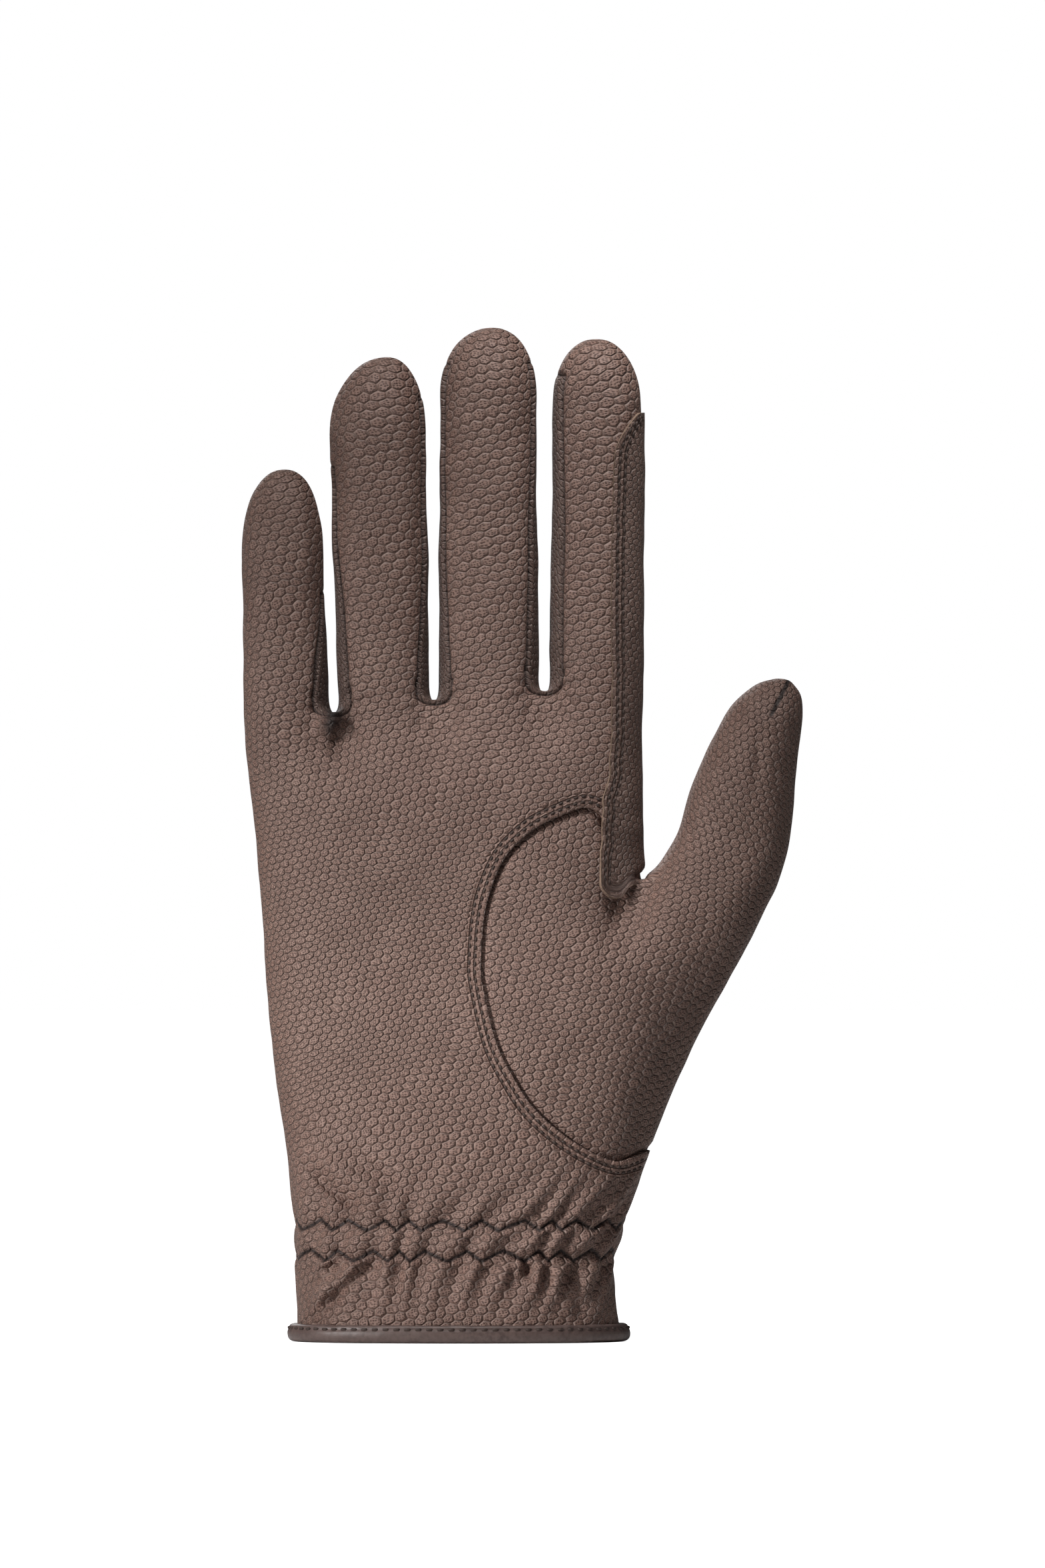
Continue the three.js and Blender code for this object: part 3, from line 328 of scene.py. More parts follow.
    def __post_init__(self) -> None:
        """Work out the places along the knuckles, and start with an empty net."""
        self.points: list[tuple[float, float, float]] = []
        self.cells: list[tuple[Line, Piece, bool]] = []
        self.flat: dict[int, tuple[float, float]] = {}
        widths = [self.width(f) for f in self.fingers]
        gaps = [self.gap(c) for c in self.crotches]
        total = sum(widths) + sum(gaps)
        self.knuckle_left = self.knuckle_shift - total / 2
        self.knuckle_right = self.knuckle_left + total
        edges = np.cumsum([self.knuckle_left] + [w + g for w, g in zip(widths, [*gaps, 0.0])])
        self.middles = [float(e + w / 2) for e, w in zip(edges, widths)]
        self.thumb_left = self.knuckle_right + self.thumb_gap
        self.thumb_right = self.thumb_left + self.thumb_width
        self.thumb_middle = (self.thumb_left + self.thumb_right) / 2
        self.seam = self.fourchette_width / 2
        self.scale = np.array([self.knuckle_right, self.thumb_crotch])

    def width(self, finger: Finger) -> float:
        """Return a finger's width at its root."""
        return finger.wide * self.finger_width

    def half(self, finger: Finger) -> float:
        """Return half of a finger's depth at its root."""
        return finger.deep * self.finger_depth / 2

    def gap(self, crotch: Crotch) -> float:
        """Return the width of a gap at its bottom."""
        return crotch.wide * self.crotch_gap

    def height(self, crotch: Crotch) -> float:
        """Return the height of the bottom of a gap."""
        return crotch.up * self.crotch_height

    def gap_middle(self, index: int) -> float:
        """Return the place across the knuckles of the gap after a finger."""
        return self.middles[index] + self.width(self.fingers[index]) / 2 + self.gap(self.crotches[index]) / 2

    def palm_section(self, left: float, right: float, half: float) -> Section:
        """Return a section of the hand between two places across it."""
        return Section((left + right) / 2, right - left, half, self.palm_squareness)

    def finger_section(self, middle: float, width: float, half: float) -> Section:
        """Return a section of a finger or of the thumb."""
        return Section(middle, width, half, self.finger_squareness)

    def left_of(self, sections: Table, up: float) -> float:
        """Return how far a row reaches towards the little finger's side."""
        return lerp(-self.cuff_width / 2, self.knuckle_left, sections.at("ulnar", up))

    def crotch_line(self, index: int) -> tuple[float, float]:
        """Return the heights of a finger's root on its two sides."""
        heights = [self.height(c) for c in self.crotches]
        line = [heights[0], *heights, heights[-1]]
        return line[index], line[index + 1]

    def add(self, x: Points, y: Points, z: Points | float) -> Line:
        """Add points to the net and return their numbers."""
        start = len(self.points)
        x, y, z = np.broadcast_arrays(x, y, z)
        self.points.extend(zip(x.tolist(), y.tolist(), z.tolist()))
        return list(range(start, len(self.points)))

    def ring(self, face: Points, radial: Points, ulnar: Points) -> Ring:
        """Add one row to the net.

        Args:
            face: Rows of x, half-depth and z along the palm, which the back mirrors.
            radial: Rows of x, y and z round the end towards the thumb.
            ulnar: Rows of x, y and z round the end towards the little finger.

        Returns:
            The row's ring of points.
        """
        x, y, z = face.T
        return Ring(self.add(x, -y, z), self.add(x, y, z), self.add(*radial.T), self.add(*ulnar.T))

    def wrap(self, lower: Line, upper: Line, piece_of: PieceRule, by_thumb: bool = False) -> None:
        """Add the cells between two loops, or between a loop and a pole."""
        count = len(lower)
        for i, (a, b) in enumerate(zip(lower, lower[1:] + lower[:1])):
            c, d = upper[(i + 1) % len(upper)], upper[i % len(upper)]
            corners = [a, b, c] if c == d else [a, b, c, d]
            self.cells.append((corners, piece_of(i, count), by_thumb))

    def flatten(self, ring: Ring, column: int, start: float | None = None, rise: float = 0.0) -> None:
        """Give a row its places on the flat pattern, by its length to each side of one column.

        Args:
            ring: The row.
            column: The column of its palm line that the pattern is measured from.
            start: That column's place across the pattern, or None where that is its own x.
            rise: How much longer the leather is than the row is high.
        """
        half = (len(ring.ulnar) + 1) // 2
        for line, near, far in (
            (ring.front, ring.ulnar[:half][::-1], ring.radial[:half]),
            (ring.back, ring.ulnar[half - 1 :], ring.radial[half - 1 :][::-1]),
        ):
            path = [*near, *line, *far]
            places = np.array([self.points[p] for p in path])
            length = run_of(places[:, :2])
            middle = len(near) + column
            across = (places[middle, 0] if start is None else start) + length - length[middle]
            self.flat.update(zip(path, zip(across, places[:, 2] + rise)))

    @staticmethod
    def palm_or_back(i: int, count: int) -> Piece:
        """Return the palm for the first half of a loop and the back for the rest."""
        return Piece.PALM if i < count / 2 else Piece.BACK

    def stations(self) -> dict[str, Points]:
        """Return the places, own half-depths and heights of the stations along the knuckles."""
        rows: list[tuple[float, float, float]] = []
        for i, finger in enumerate(self.fingers):
            half = self.half(finger)
            corner = rounded(min(0.9, self.seam / half), self.finger_squareness)
            share = (across_face(self.face_segments) + 1) / 2
            u = corner * (2 * share - 1)
            x = self.middles[i] + u * self.width(finger) / 2
            low, high = self.crotch_line(i)
            own = half * rounded(u, self.finger_squareness)
            rows.extend(zip(x, own, lerp(low, high, share)))
            if i < len(self.crotches):
                crotch = self.crotches[i]
                rows.append((self.gap_middle(i), self.seam, self.height(crotch) - self.gap(crotch) / 2))
        x, own, z = np.array(rows).T
        return {"x": x, "own": own, "z": z}

    def blended_end(self, side: int, corner: Points, whole: Section, own: Section, split: float) -> Points:
        """Place one end of a row, between the whole section's end and that of its own part.

        Args:
            side: -1 for the end towards the little finger, 1 for the end towards the thumb.
            corner: The x, half-depth and z of the row's last place on that side.
            whole: The whole section.
            own: The section of the part that the end belongs to.
            split: How far the parts have come apart.

        Returns:
            Rows of x, y and z.
        """
        _, depth, z = corner
        outer = whole.end(side, depth, self.side_segments)
        inner = own.end(side, min(depth, own.half), self.side_segments)
        return np.column_stack([lerp(outer[:, 0], inner[:, 0], split), outer[:, 1], np.full(len(outer), z)])

    def upper_row(self, up: float) -> tuple[Points, Points, Points]:
        """Lay out a row between the thumb's crotch and the knuckles, at a share of the way."""
        row = self.stations()
        left = self.left_of(self.upper_sections, up)
        half = lerp(self.palm_depth, self.knuckle_depth, self.upper_sections.at("deep", up)) / 2
        hand = self.palm_section(left, self.knuckle_right, half)
        split = smoothstep(up, 0.5, 1.0)
        span = self.knuckle_right - self.knuckle_left

        def place(x: Value) -> Value:
            """Squeeze a place along the knuckles into this row."""
            return lerp(left, self.knuckle_right, (x - self.knuckle_left) / span)

        x = place(row["x"])
        y = lerp(hand.depth_at(x), row["own"], split)
        face = np.column_stack([x, y, lerp(self.thumb_crotch, row["z"], up)])

        def end(side: int, last: int) -> Points:
            """Place one end of the row, between the hand's own and the finger's own."""
            finger = self.fingers[last]
            own = self.finger_section(place(self.middles[last]), self.width(finger), self.half(finger))
            return self.blended_end(side, face[last], hand, own, split)

        return face, end(1, -1), end(-1, 0)

    def lower_section(self, up: float) -> Section:
        """Return the hand's whole section below the thumb's crotch, at a share of the crotch's height."""
        left = self.left_of(self.lower_sections, up)
        right = lerp(self.cuff_width / 2, self.thumb_right, self.lower_sections.at("radial", up))
        half = lerp(self.cuff_depth, self.palm_depth, self.lower_sections.at("deep", up)) / 2
        return self.palm_section(left, right, half)

    def lower_row(self, up: float) -> tuple[Points, Points, Points]:
        """Lay out a row below the thumb's crotch, at a share of the crotch's height."""
        whole = self.lower_section(up)
        left = whole.middle - whole.width / 2
        top = self.upper_row(0.0)[0]
        top_left = self.left_of(self.upper_sections, 0.0)
        scale = whole.width / (self.thumb_right - top_left)
        split = smoothstep(up, 0.78, 1.0)
        half_thumb = self.thumb_depth / 2

        def place(x: Value) -> Value:
            """Squeeze a place along the thumb crotch's row into this row."""
            return left + (x - top_left) * scale

        hand = self.palm_section(left, place(self.knuckle_right), whole.half)
        thumb = self.finger_section(place(self.thumb_middle), self.thumb_width * scale, half_thumb)
        corner = rounded(self.seam / half_thumb, self.finger_squareness)
        at = self.thumb_middle + corner * across_face(self.thumb_segments) * self.thumb_width / 2
        at = np.concatenate([top[:, 0], [self.knuckle_right + self.thumb_gap / 2], at])
        x = place(at)
        hands = len(top)
        own = np.concatenate([hand.depth_at(x[:hands]), [self.seam * 0.9], thumb.depth_at(x[hands + 1 :])])
        drop = np.clip((at - self.thumb_left) / self.thumb_width, 0.0, 1.0) * self.thumb_drop
        z = up * (self.thumb_crotch - drop)
        face = np.column_stack([x, lerp(whole.depth_at(x), own, split), z])
        radial = self.blended_end(1, face[-1], whole, thumb, split)
        ulnar = self.blended_end(-1, face[0], whole, hand, split)
        return face, radial, ulnar

    def lay_crotch(
        self,
        piece: Piece,
        sections: Sequence[Section],
        row: Ring,
        spots: Sequence[int],
        height: float,
        gap: float,
    ) -> list[Line]:
        """Lay the bottom of a gap on three lines from the palm's seam to the back's seam.

        Args:
            piece: The leather in the gap.
            sections: The sections on the left and the right of the gap.
            row: The row of the net that the gap opens from.
            spots: The row's three columns at the gap.
            height: The height of the gap's bottom.
            gap: The gap's width there.

        Returns:
            The left side's line, the bottom's line and the right side's line.
        """
        corner = abs(self.points[row.front[spots[0]]][1])
        near, far = (
            section.end(side, min(corner, section.half * 0.98), self.side_segments)
            for section, side in zip(sections, (1, -1))
        )
        low, high = height - gap / 2, height + gap / 2
        lines = [
            self.add(near[:, 0], near[:, 1], high),
            self.add((near[:, 0] + far[:, 0]) / 2, near[:, 1], low),
            self.add(far[:, 0], near[:, 1], high),
        ]
        lines = [[row.front[s], *line, row.back[s]] for s, line in zip(spots, lines)]
        for left, right in zip(lines, lines[1:]):
            for k in range(self.side_segments):
                cell = [left[k], right[k], right[k + 1], left[k + 1]]
                self.cells.append((cell, piece, piece is Piece.THUMB))
        return lines

    def stack(self, rings: list[Ring]) -> None:
        """Add the cells between rows of the hand, and give the rows their places on the pattern."""
        for lower, upper in zip(rings, rings[1:]):
            self.flatten(upper, self.pattern_column)
            self.wrap(lower.loop(), upper.loop(), self.palm_or_back)

    def lay_hand(self) -> None:
        """Lay the cuff and the hand up to the knuckles."""
        full = self.thumb_crotch
        first = self.hem_rows[-1]
        count = round((full - first) / self.row_step)
        heights = [*self.hem_rows, *np.linspace(first, full, count + 1)[1:]]
        rings = [self.ring(*self.lower_row(h / full)) for h in heights]
        self.flatten(rings[0], self.pattern_column)
        self.stack(rings)
        top = rings[-1]
        hands = len(self.stations()["x"])
        spots = [hands - 1, hands, hands + 1]
        whole = self.lower_section(1.0)
        hand = self.palm_section(whole.middle - whole.width / 2, self.knuckle_right, whole.half)
        thumb = self.finger_section(self.thumb_middle, self.thumb_width, self.thumb_depth / 2)
        lines = self.lay_crotch(Piece.THUMB, (hand, thumb), top, spots, full, self.thumb_gap)
        self.thumb_root = Ring(top.front[hands + 1 :], top.back[hands + 1 :], top.radial, lines[2][1:-1])
        base = Ring(top.front[:hands], top.back[:hands], lines[0][1:-1], top.ulnar)
        rows = round((self.crotch_line(1)[0] - full) / self.row_step)
        rings = [base, *(self.ring(*self.upper_row(k / rows)) for k in range(1, rows + 1))]
        self.stack(rings)
        self.knuckles = rings[-1]

    def lay_fingers(self) -> None:
        """Lay the bottoms of the gaps and then the four fingers."""
        top = self.knuckles
        sections = [
            self.finger_section(m, self.width(f), self.half(f)) for m, f in zip(self.middles, self.fingers)
        ]
        step = self.face_segments + 2
        gaps = []
        for i, crotch in enumerate(self.crotches):
            spots = range((i + 1) * step - 2, (i + 1) * step + 1)
            height, gap = self.height(crotch), self.gap(crotch)
            gaps.append(self.lay_crotch(crotch.piece, sections[i : i + 2], top, spots, height, gap))
        for i in range(len(self.fingers)):
            face = slice(i * step, (i + 1) * step - 1)
            radial = gaps[i][0][1:-1] if i < len(gaps) else top.radial
            ulnar = gaps[i - 1][2][1:-1] if i > 0 else top.ulnar
            self.lay_finger(i, Ring(top.front[face], top.back[face], radial, ulnar))

    def seam_corner(
        self, crotch: Crotch | None, side: int, share: float, half: float, round_off: float
    ) -> float:
        """Return how far a finger's side seam lies from the finger's middle, front to back.

        Args:
            crotch: The gap on that side, or None on the glove's own side.
            side: 0 where the finger lies left of the gap, 1 where it lies right of it.
            share: How far up the finger, as a share of its length.
            half: Half of the finger's depth there.
            round_off: The dome's share of the full section there.

        Returns:
            The seam's distance in millimetres.
        """
        if crotch is None:
            return min(self.seam * 0.85 * round_off, half * 0.8)
        along = min(1.0, share / crotch.reach[side])
        narrow = np.interp(along, [0.0, 0.5, 1.0], [1.0, crotch.half_way[side], crotch.at_end[side]])
        return max(self.thin_end, min(self.seam * narrow * round_off, half * 0.82))

    def lay_finger(self, index: int, root: Ring) -> None:
        """Lay one finger from its root to its tip."""
        finger = self.fingers[index]
        width, half = self.width(finger), self.half(finger)
        length = finger.long * self.finger_length
        tip = sum(self.crotch_line(index)) / 2 + length
        straight = 1.0 - finger.dome * width / length
        right = self.crotches[index] if index < len(self.crotches) else None
        left = self.crotches[index - 1] if index > 0 else None
        count = round(straight * length / self.row_step)
        shares = list(np.arange(1, count + 1) / count * straight)
        for crotch, side in ((left, 1), (right, 0)):
            if crotch and crotch.reach[side] < straight:
                nearest = int(np.argmin([abs(s - crotch.reach[side]) for s in shares]))
                shares[nearest] = crotch.reach[side]
        rows = [(s, 1.0) for s in shares]
        rows += [(lerp(straight, 1.0, r), float(rounded(r, self.dome_squareness))) for r in self.dome_rows]
        below = root.loop()
        column = self.face_segments // 2
        shift = self.flat[root.front[column]][0] - self.points[root.front[column]][0]
        rise, before = 0.0, (0.0, half)
        for share, round_off in rows:
            along = min(1.0, share / straight)
            here = self.finger_section(
                self.middles[index] + width * (finger.lean * along + finger.tip_lean * (1 - round_off)),
                width * lerp(1.0, finger.taper, along) * round_off,
                half * lerp(1.0, 0.97, along) * round_off,
            )
            corners = (
                self.seam_corner(left, 1, share, here.half, round_off),
                self.seam_corner(right, 0, share, here.half, round_off),
            )
            ring = self.finger_ring(here, corners, root, share, tip)
            step = (share * length, here.half)
            if share > straight:
                rise += math.dist(step, before) - (step[0] - before[0])
            before = step
            self.flatten(ring, column, shift + self.points[ring.front[column]][0], rise)
            self.wrap(below, ring.loop(), self.finger_pieces(left, right, share))
            below = ring.loop()
        pole = self.add([self.middles[index] + width * (finger.lean + finger.tip_lean)], [0.0], [tip])
        self.flat[pole[0]] = (shift + self.points[pole[0]][0], tip + rise + before[1])
        self.wrap(below, pole, self.palm_or_back)

    def finger_ring(
        self, here: Section, corners: tuple[float, float], root: Ring, share: float, tip: float
    ) -> Ring:
        """Add one ring of a finger, at a share of its length."""
        reach = [float(rounded(min(0.97, c / here.half), self.finger_squareness)) for c in corners]
        u = lerp(-reach[0], reach[1], (across_face(self.face_segments) + 1) / 2)
        x = here.middle + u * here.width / 2
        y = here.half * rounded(u, self.finger_squareness)

        def rise(line: Line) -> Points:
            """Return the heights above a line of the root."""
            return np.array([lerp(self.points[p][2], tip, share) for p in line])

        radial = here.end(1, y[-1], self.side_segments)
        ulnar = here.end(-1, y[0], self.side_segments)
        return Ring(
            self.add(x, -y, rise(root.front)),
            self.add(x, y, rise(root.back)),
            self.add(*radial.T, rise(root.radial)),
            self.add(*ulnar.T, rise(root.ulnar)),
        )

    def finger_pieces(
        self, left: Crotch | None, right: Crotch | None, share: float
    ) -> Callable[[int, int], Piece]:
        """Return the rule that names the leather of each segment of a finger's loop."""
        half_side = self.side_segments // 2

        def piece_of(i: int, count: int) -> Piece:
            """Name the leather of one segment."""
            on_right = half_side + self.face_segments <= i < count // 2 + half_side
            on_left = i < half_side or i >= count - half_side
            if on_right and right and share <= right.reach[0] + 1e-6:
                return right.piece
            if on_left and left and share <= left.reach[1] + 1e-6:
                return left.piece
            return self.palm_or_back(i, count)

        return piece_of

    def lay_thumb(self) -> None:
        """Lay the thumb from its root to its tip."""
        table = self.thumb_sections
        root_z = self.thumb_crotch - self.thumb_drop / 2
        below = self.thumb_root.loop()
        column = self.thumb_segments // 2
        root = self.thumb_root.front[column]
        root_flat, root_middle = self.flat[root][0], self.points[root][0]
        rise, before = 0.0, (0.0, self.thumb_depth / 2)
        for up in self.thumb_rows:
            half = self.thumb_depth * table.at("deep", up) / 2
            corner = min(self.seam * table.at("deep", up), half * 0.8)
            here = self.finger_section(0.0, self.thumb_width * table.at("wide", up), half)
            reach = float(rounded(corner / half, self.finger_squareness))
            u = reach * across_face(self.thumb_segments)
            turn = math.radians(table.at("turn", up))
            x = self.thumb_middle + self.thumb_reach * table.at("out", up)
            z = root_z + self.thumb_rise * up
            def turned(across: Points, y: Points) -> Line:
                """Add points of the tilted section."""
                return self.add(x + across * math.cos(turn), y, z + across * math.sin(turn))

            across = u * here.width / 2
            depth = here.half * rounded(u, self.finger_squareness)
            radial, ulnar = (here.end(side, corner, self.side_segments) for side in (1, -1))
            ring = Ring(turned(across, -depth), turned(across, depth), turned(*radial.T), turned(*ulnar.T))
            step = (self.thumb_rise * up, half)
            rise += math.dist(step, before) - (step[0] - before[0])
            before = step
            self.flatten(ring, column, root_flat + self.points[ring.front[column]][0] - root_middle, rise)
            self.wrap(below, ring.loop(), lambda i, count: Piece.THUMB, by_thumb=True)
            below = ring.loop()
        pole = self.add([self.thumb_middle + self.thumb_reach], [0.0], [root_z + self.thumb_rise])
        self.flat[pole[0]] = (root_flat + self.thumb_reach, root_z + self.thumb_rise + rise + before[1])
        self.wrap(below, pole, lambda i, count: Piece.THUMB, by_thumb=True)

    def build(self) -> None:
        """Lay the whole net."""
        self.lay_hand()
        self.lay_fingers()
        self.lay_thumb()

    def to_object(self, name: str, thumb: bool) -> Object:
        """Make a subdivided mesh of the hand's cells, or of the thumb's and those round its base.

        Args:
            name: The new object's name.
            thumb: Whether the thumb's part is wanted.

        Returns:
            The object, with a flattened UV map and the pieces as material slots.
        """
        places = np.array(self.points)
        hands = self.knuckle_right * -0.3

        def wanted(cell: tuple[Line, Piece, bool]) -> bool:
            """Say whether a cell belongs to the part that is wanted."""
            corners, _, by_thumb = cell
            middle = places[corners].mean(axis=0)
            if not thumb:
                return not by_thumb
            return by_thumb or (middle[0] > hands and middle[2] < self.crotch_height - self.row_step * 2)

        cells = [cell for cell in self.cells if wanted(cell)]
        obj = new_object(name, places, [c[0] for c in cells])
        mesh = obj.data
        numbers = [Piece.THUMB.value if thumb else c[1].value for c in cells]
        mesh.polygons.foreach_set("material_index", numbers)
        for piece in Piece:
            mesh.materials.append(bpy.data.materials.new(f"net_{piece.name.lower()}"))
        uv = mesh.uv_layers.new(name="pattern").uv
        pattern = self.pattern(cells, self.thumb_scales if thumb else self.hand_scales)
        uv.foreach_set("vector", (pattern * MM).ravel())
        with editing(obj):
            bpy.ops.mesh.delete_loose(use_verts=True, use_edges=False, use_faces=False)
        self.hold_net(obj)
        apply_modifier(obj, "SUBSURF", levels=3, render_levels=3)
        return obj

    def pattern(self, cells: list[tuple[Line, Piece, bool]], scales: Table) -> Points:
        """Return each cell corner's place on the flat pattern, drawn out where its scales are small."""
        flat = []
        for corners, piece, _ in cells:
            for p in corners:
                x, y, z = self.points[p]
                flat.append((y, z + x) if piece in GUSSETS else self.flat.get(p, (x + abs(y), z)))
        across, up = np.array(flat).T
        heights = np.arange(-10.0, 320.0)
        wide = np.interp(up, heights, [scales.at("wide", h) for h in heights])
        tall = np.cumsum([1.0 / scales.at("tall", h) for h in heights])
        return np.column_stack([across / wide, np.interp(up, heights, tall)])

    def hold_net(self, obj: Object) -> None:
        """Move the net's points out so that the rounded surface runs through where they were."""
        mesh = obj.data
        goal = places_of(mesh)
        modifier = obj.modifiers.new("rounding", "SUBSURF")
        modifier.levels = 2
        ends = read(mesh.edges, "vertices", 2, np.int64)
        length = np.linalg.norm(goal[ends[:, 0]] - goal[ends[:, 1]], axis=1)
        room = np.full(len(goal), self.hold_reach)
        for end in ends.T:
            np.minimum.at(room, end, length * self.hold_room)
        moved = goal.copy()
        for share in self.hold_shares:
            bpy.context.view_layer.update()
            graph = bpy.context.evaluated_depsgraph_get()
            smooth = places_of(obj.evaluated_get(graph).data)[: len(goal)]
            moved += (goal - smooth) * share
            away = np.linalg.norm(moved - goal, axis=1)
            moved = goal + (moved - goal) * np.minimum(1.0, room / np.maximum(away, TINY))[:, None]
            set_places(mesh, moved)
        obj.modifiers.remove(modifier)


def activate(obj: Object) -> None:
    """Deselect everything, then select one object and make it the active one."""
    bpy.ops.object.select_all(action="DESELECT")
    obj.select_set(True)
    bpy.context.view_layer.objects.active = obj


@contextmanager
def editing(obj: Object, select: str = "SELECT", kind: str = "VERT") -> Iterator[None]:
    """Open an object's mesh in edit mode for a while.

    Args:
        obj: The object.
        select: What becomes of the selection: SELECT for everything, DESELECT for nothing.
        kind: What is selected: VERT, EDGE or FACE.

    Yields:
        Nothing.
    """
    activate(obj)
    bpy.ops.object.mode_set(mode="EDIT")
    bpy.ops.mesh.select_mode(type=kind)
    bpy.ops.mesh.select_all(action=select)
    yield
    bpy.ops.object.mode_set(mode="OBJECT")


def shade_smooth(obj: Object) -> None:
    """Shade an object's faces smoothly."""
    activate(obj)
    bpy.ops.object.shade_smooth()


def apply_modifier(obj: Object, kind: str, **settings: float | int | bool | str) -> None:
    """Add one modifier to an object, set it and apply it."""
    activate(obj)
    modifier = obj.modifiers.new(kind.lower(), kind)
    for key, value in settings.items():
        setattr(modifier, key, value)
    bpy.ops.object.modifier_apply(modifier=modifier.name)


def link_new(name: str, data: bpy.types.ID) -> Object:
    """Make an object of its data and put it in the scene."""
    obj = bpy.data.objects.new(name, data)
    bpy.context.collection.objects.link(obj)
    return obj


def new_object(name: str, places: Points, faces: Sequence[Sequence[int]]) -> Object:
    """Make an object from points in millimetres and faces."""
    mesh = bpy.data.meshes.new(name)
    mesh.from_pydata((places * MM).tolist(), [], faces)
    return link_new(name, mesh)


def read(items: bpy.types.bpy_prop_collection, name: str, width: int = 1, kind: type = float) -> Points:
    """Read one property of many items.

    Args:
        items: The items.
        name: The property's name.
        width: How many numbers it has for each item.
        kind: The kind of number.

    Returns:
        The numbers, in rows where each item has several.
    """
    values = np.empty(len(items) * width, kind)
    items.foreach_get(name, values)
    return values if width == 1 else values.reshape(-1, width)


def places_of(mesh: Mesh) -> Points:
    """Return a mesh's points in millimetres."""
    return read(mesh.vertices, "co", 3) / MM


def set_places(mesh: Mesh, places: Points) -> None:
    """Put a mesh's points at places given in millimetres."""
    mesh.vertices.foreach_set("co", (places * MM).ravel())
    mesh.update()


def normals_of(mesh: Mesh) -> Points:
    """Return the outward direction at each of a mesh's points."""
    return read(mesh.vertex_normals, "vector", 3)


def inside(points: Points, outline: Points) -> np.ndarray:
    """Say which x, z points lie inside a closed outline."""
    x, z = points.T
    hit = np.zeros(len(points), bool)
    for (ax, az), (bx, bz) in zip(outline, np.roll(outline, -1, axis=0)):
        if az == bz:
            continue
        crosses = (az > z) != (bz > z)
        hit ^= crosses & (x < (bx - ax) * (z - az) / (bz - az) + ax)
    return hit


def nearest_on(points: Points, line: Points) -> tuple[Points, Points]:
    """Find the nearest place on a line for each point.

    Args:
        points: Points to start from, as rows of coordinates.
        line: Points along the line, close together.

    Returns:
        The distances, and the nearest places.
    """
    tree = KDTree(len(line))
    pad = 3 - line.shape[1]
    for i, p in enumerate(line):
        tree.insert((*p, *([0.0] * pad)), i)
    tree.balance()
    found = [tree.find((*p, *([0.0] * pad))) for p in points]
    return np.array([f[2] for f in found]), line[[f[1] for f in found]]


def spline(points: Sequence[Sequence[float]], step: float) -> Points:
    """Run a smooth curve through points.

    Args:
        points: The points that the curve runs through.
        step: The distance between the points returned.

    Returns:
        Evenly spaced points along the curve.
    """
    knots = np.array(points, float)
    count = len(knots) - 1
    ends = np.vstack([2 * knots[0] - knots[1], knots, 2 * knots[-1] - knots[-2]])
    t = np.linspace(0.0, 1.0, 24, endpoint=False)[:, None]
    parts = []
    for i in range(count):
        a, b, c, d = ends[i : i + 4]
        parts.append(
            0.5 * (2 * b + (c - a) * t + (2 * a - 5 * b + 4 * c - d) * t**2 + (3 * b - a - 3 * c + d) * t**3)
        )
    return evenly(np.vstack([*parts, knots[-1:]]), step)


def evenly(line: Points, step: float) -> Points:
    """Return points at even steps along a line."""
    length = run_of(line)
    count = max(2, round(length[-1] / step) + 1)
    return read_along(line, length, np.linspace(0.0, length[-1], count))


@dataclass
class ThumbSeam:
    """The long curved seam round the ball of the thumb, drawn on the palm and run through to the back."""

    net: GloveNet
    knots: tuple[tuple[float, float], ...] = (
        (1.2, 0.412), (1.056, 0.412), (0.9, 0.391), (0.77, 0.404), (0.588, 0.446), (0.416, 0.506),
        (0.3, 0.574), (0.205, 0.651), (0.133, 0.774), (0.126, 0.826), (0.14, 0.906), (0.179, 0.975),
        (0.263, 1.047), (0.398, 1.1), (0.537, 1.13), (0.698, 1.152), (0.79, 1.135), (0.82, 1.11),
        (1.0, 1.1),
    )

    def __post_init__(self) -> None:
        """Run the curve, and close it round the thumb's side."""
        net = self.net
        self.line = spline(np.array(self.knots) * net.scale, 0.25)
        side = (net.knuckle_right + net.thumb_left) / 2
        far = net.thumb_right + net.thumb_reach
        top = net.thumb_crotch + net.thumb_rise
        corners = [(side, self.line[-1, 1]), (side, top), (far, top), (far, self.line[0, 1])]
        self.outline = np.vstack([self.line, corners])

    def distance(self, places: Points) -> Points:
        """Return each point's distance from the seam, below 0 on the thumb's side."""
        flat = places[:, [0, 2]]
        away, _ = nearest_on(flat, self.line)
        return np.where(inside(flat, self.outline), -away, away)

    def offset(self, out: float) -> Points:
        """Return the seam's line moved away from the thumb."""
        along = np.gradient(self.line, axis=0)
        along /= np.linalg.norm(along, axis=1)[:, None]
        away = np.column_stack([along[:, 1], -along[:, 0]])
        middle = np.array([self.net.thumb_left, self.net.thumb_crotch * 0.8])
        away *= np.sign(((self.line - middle) * away).sum(axis=1).mean())
        return self.line + away * out


@dataclass(frozen=True)
class Fold:
    """A fold in the palm's face: its two ends as shares, its height and its half-width in millimetres."""

    start: tuple[float, float]
    end: tuple[float, float]
    height: float
    half: float


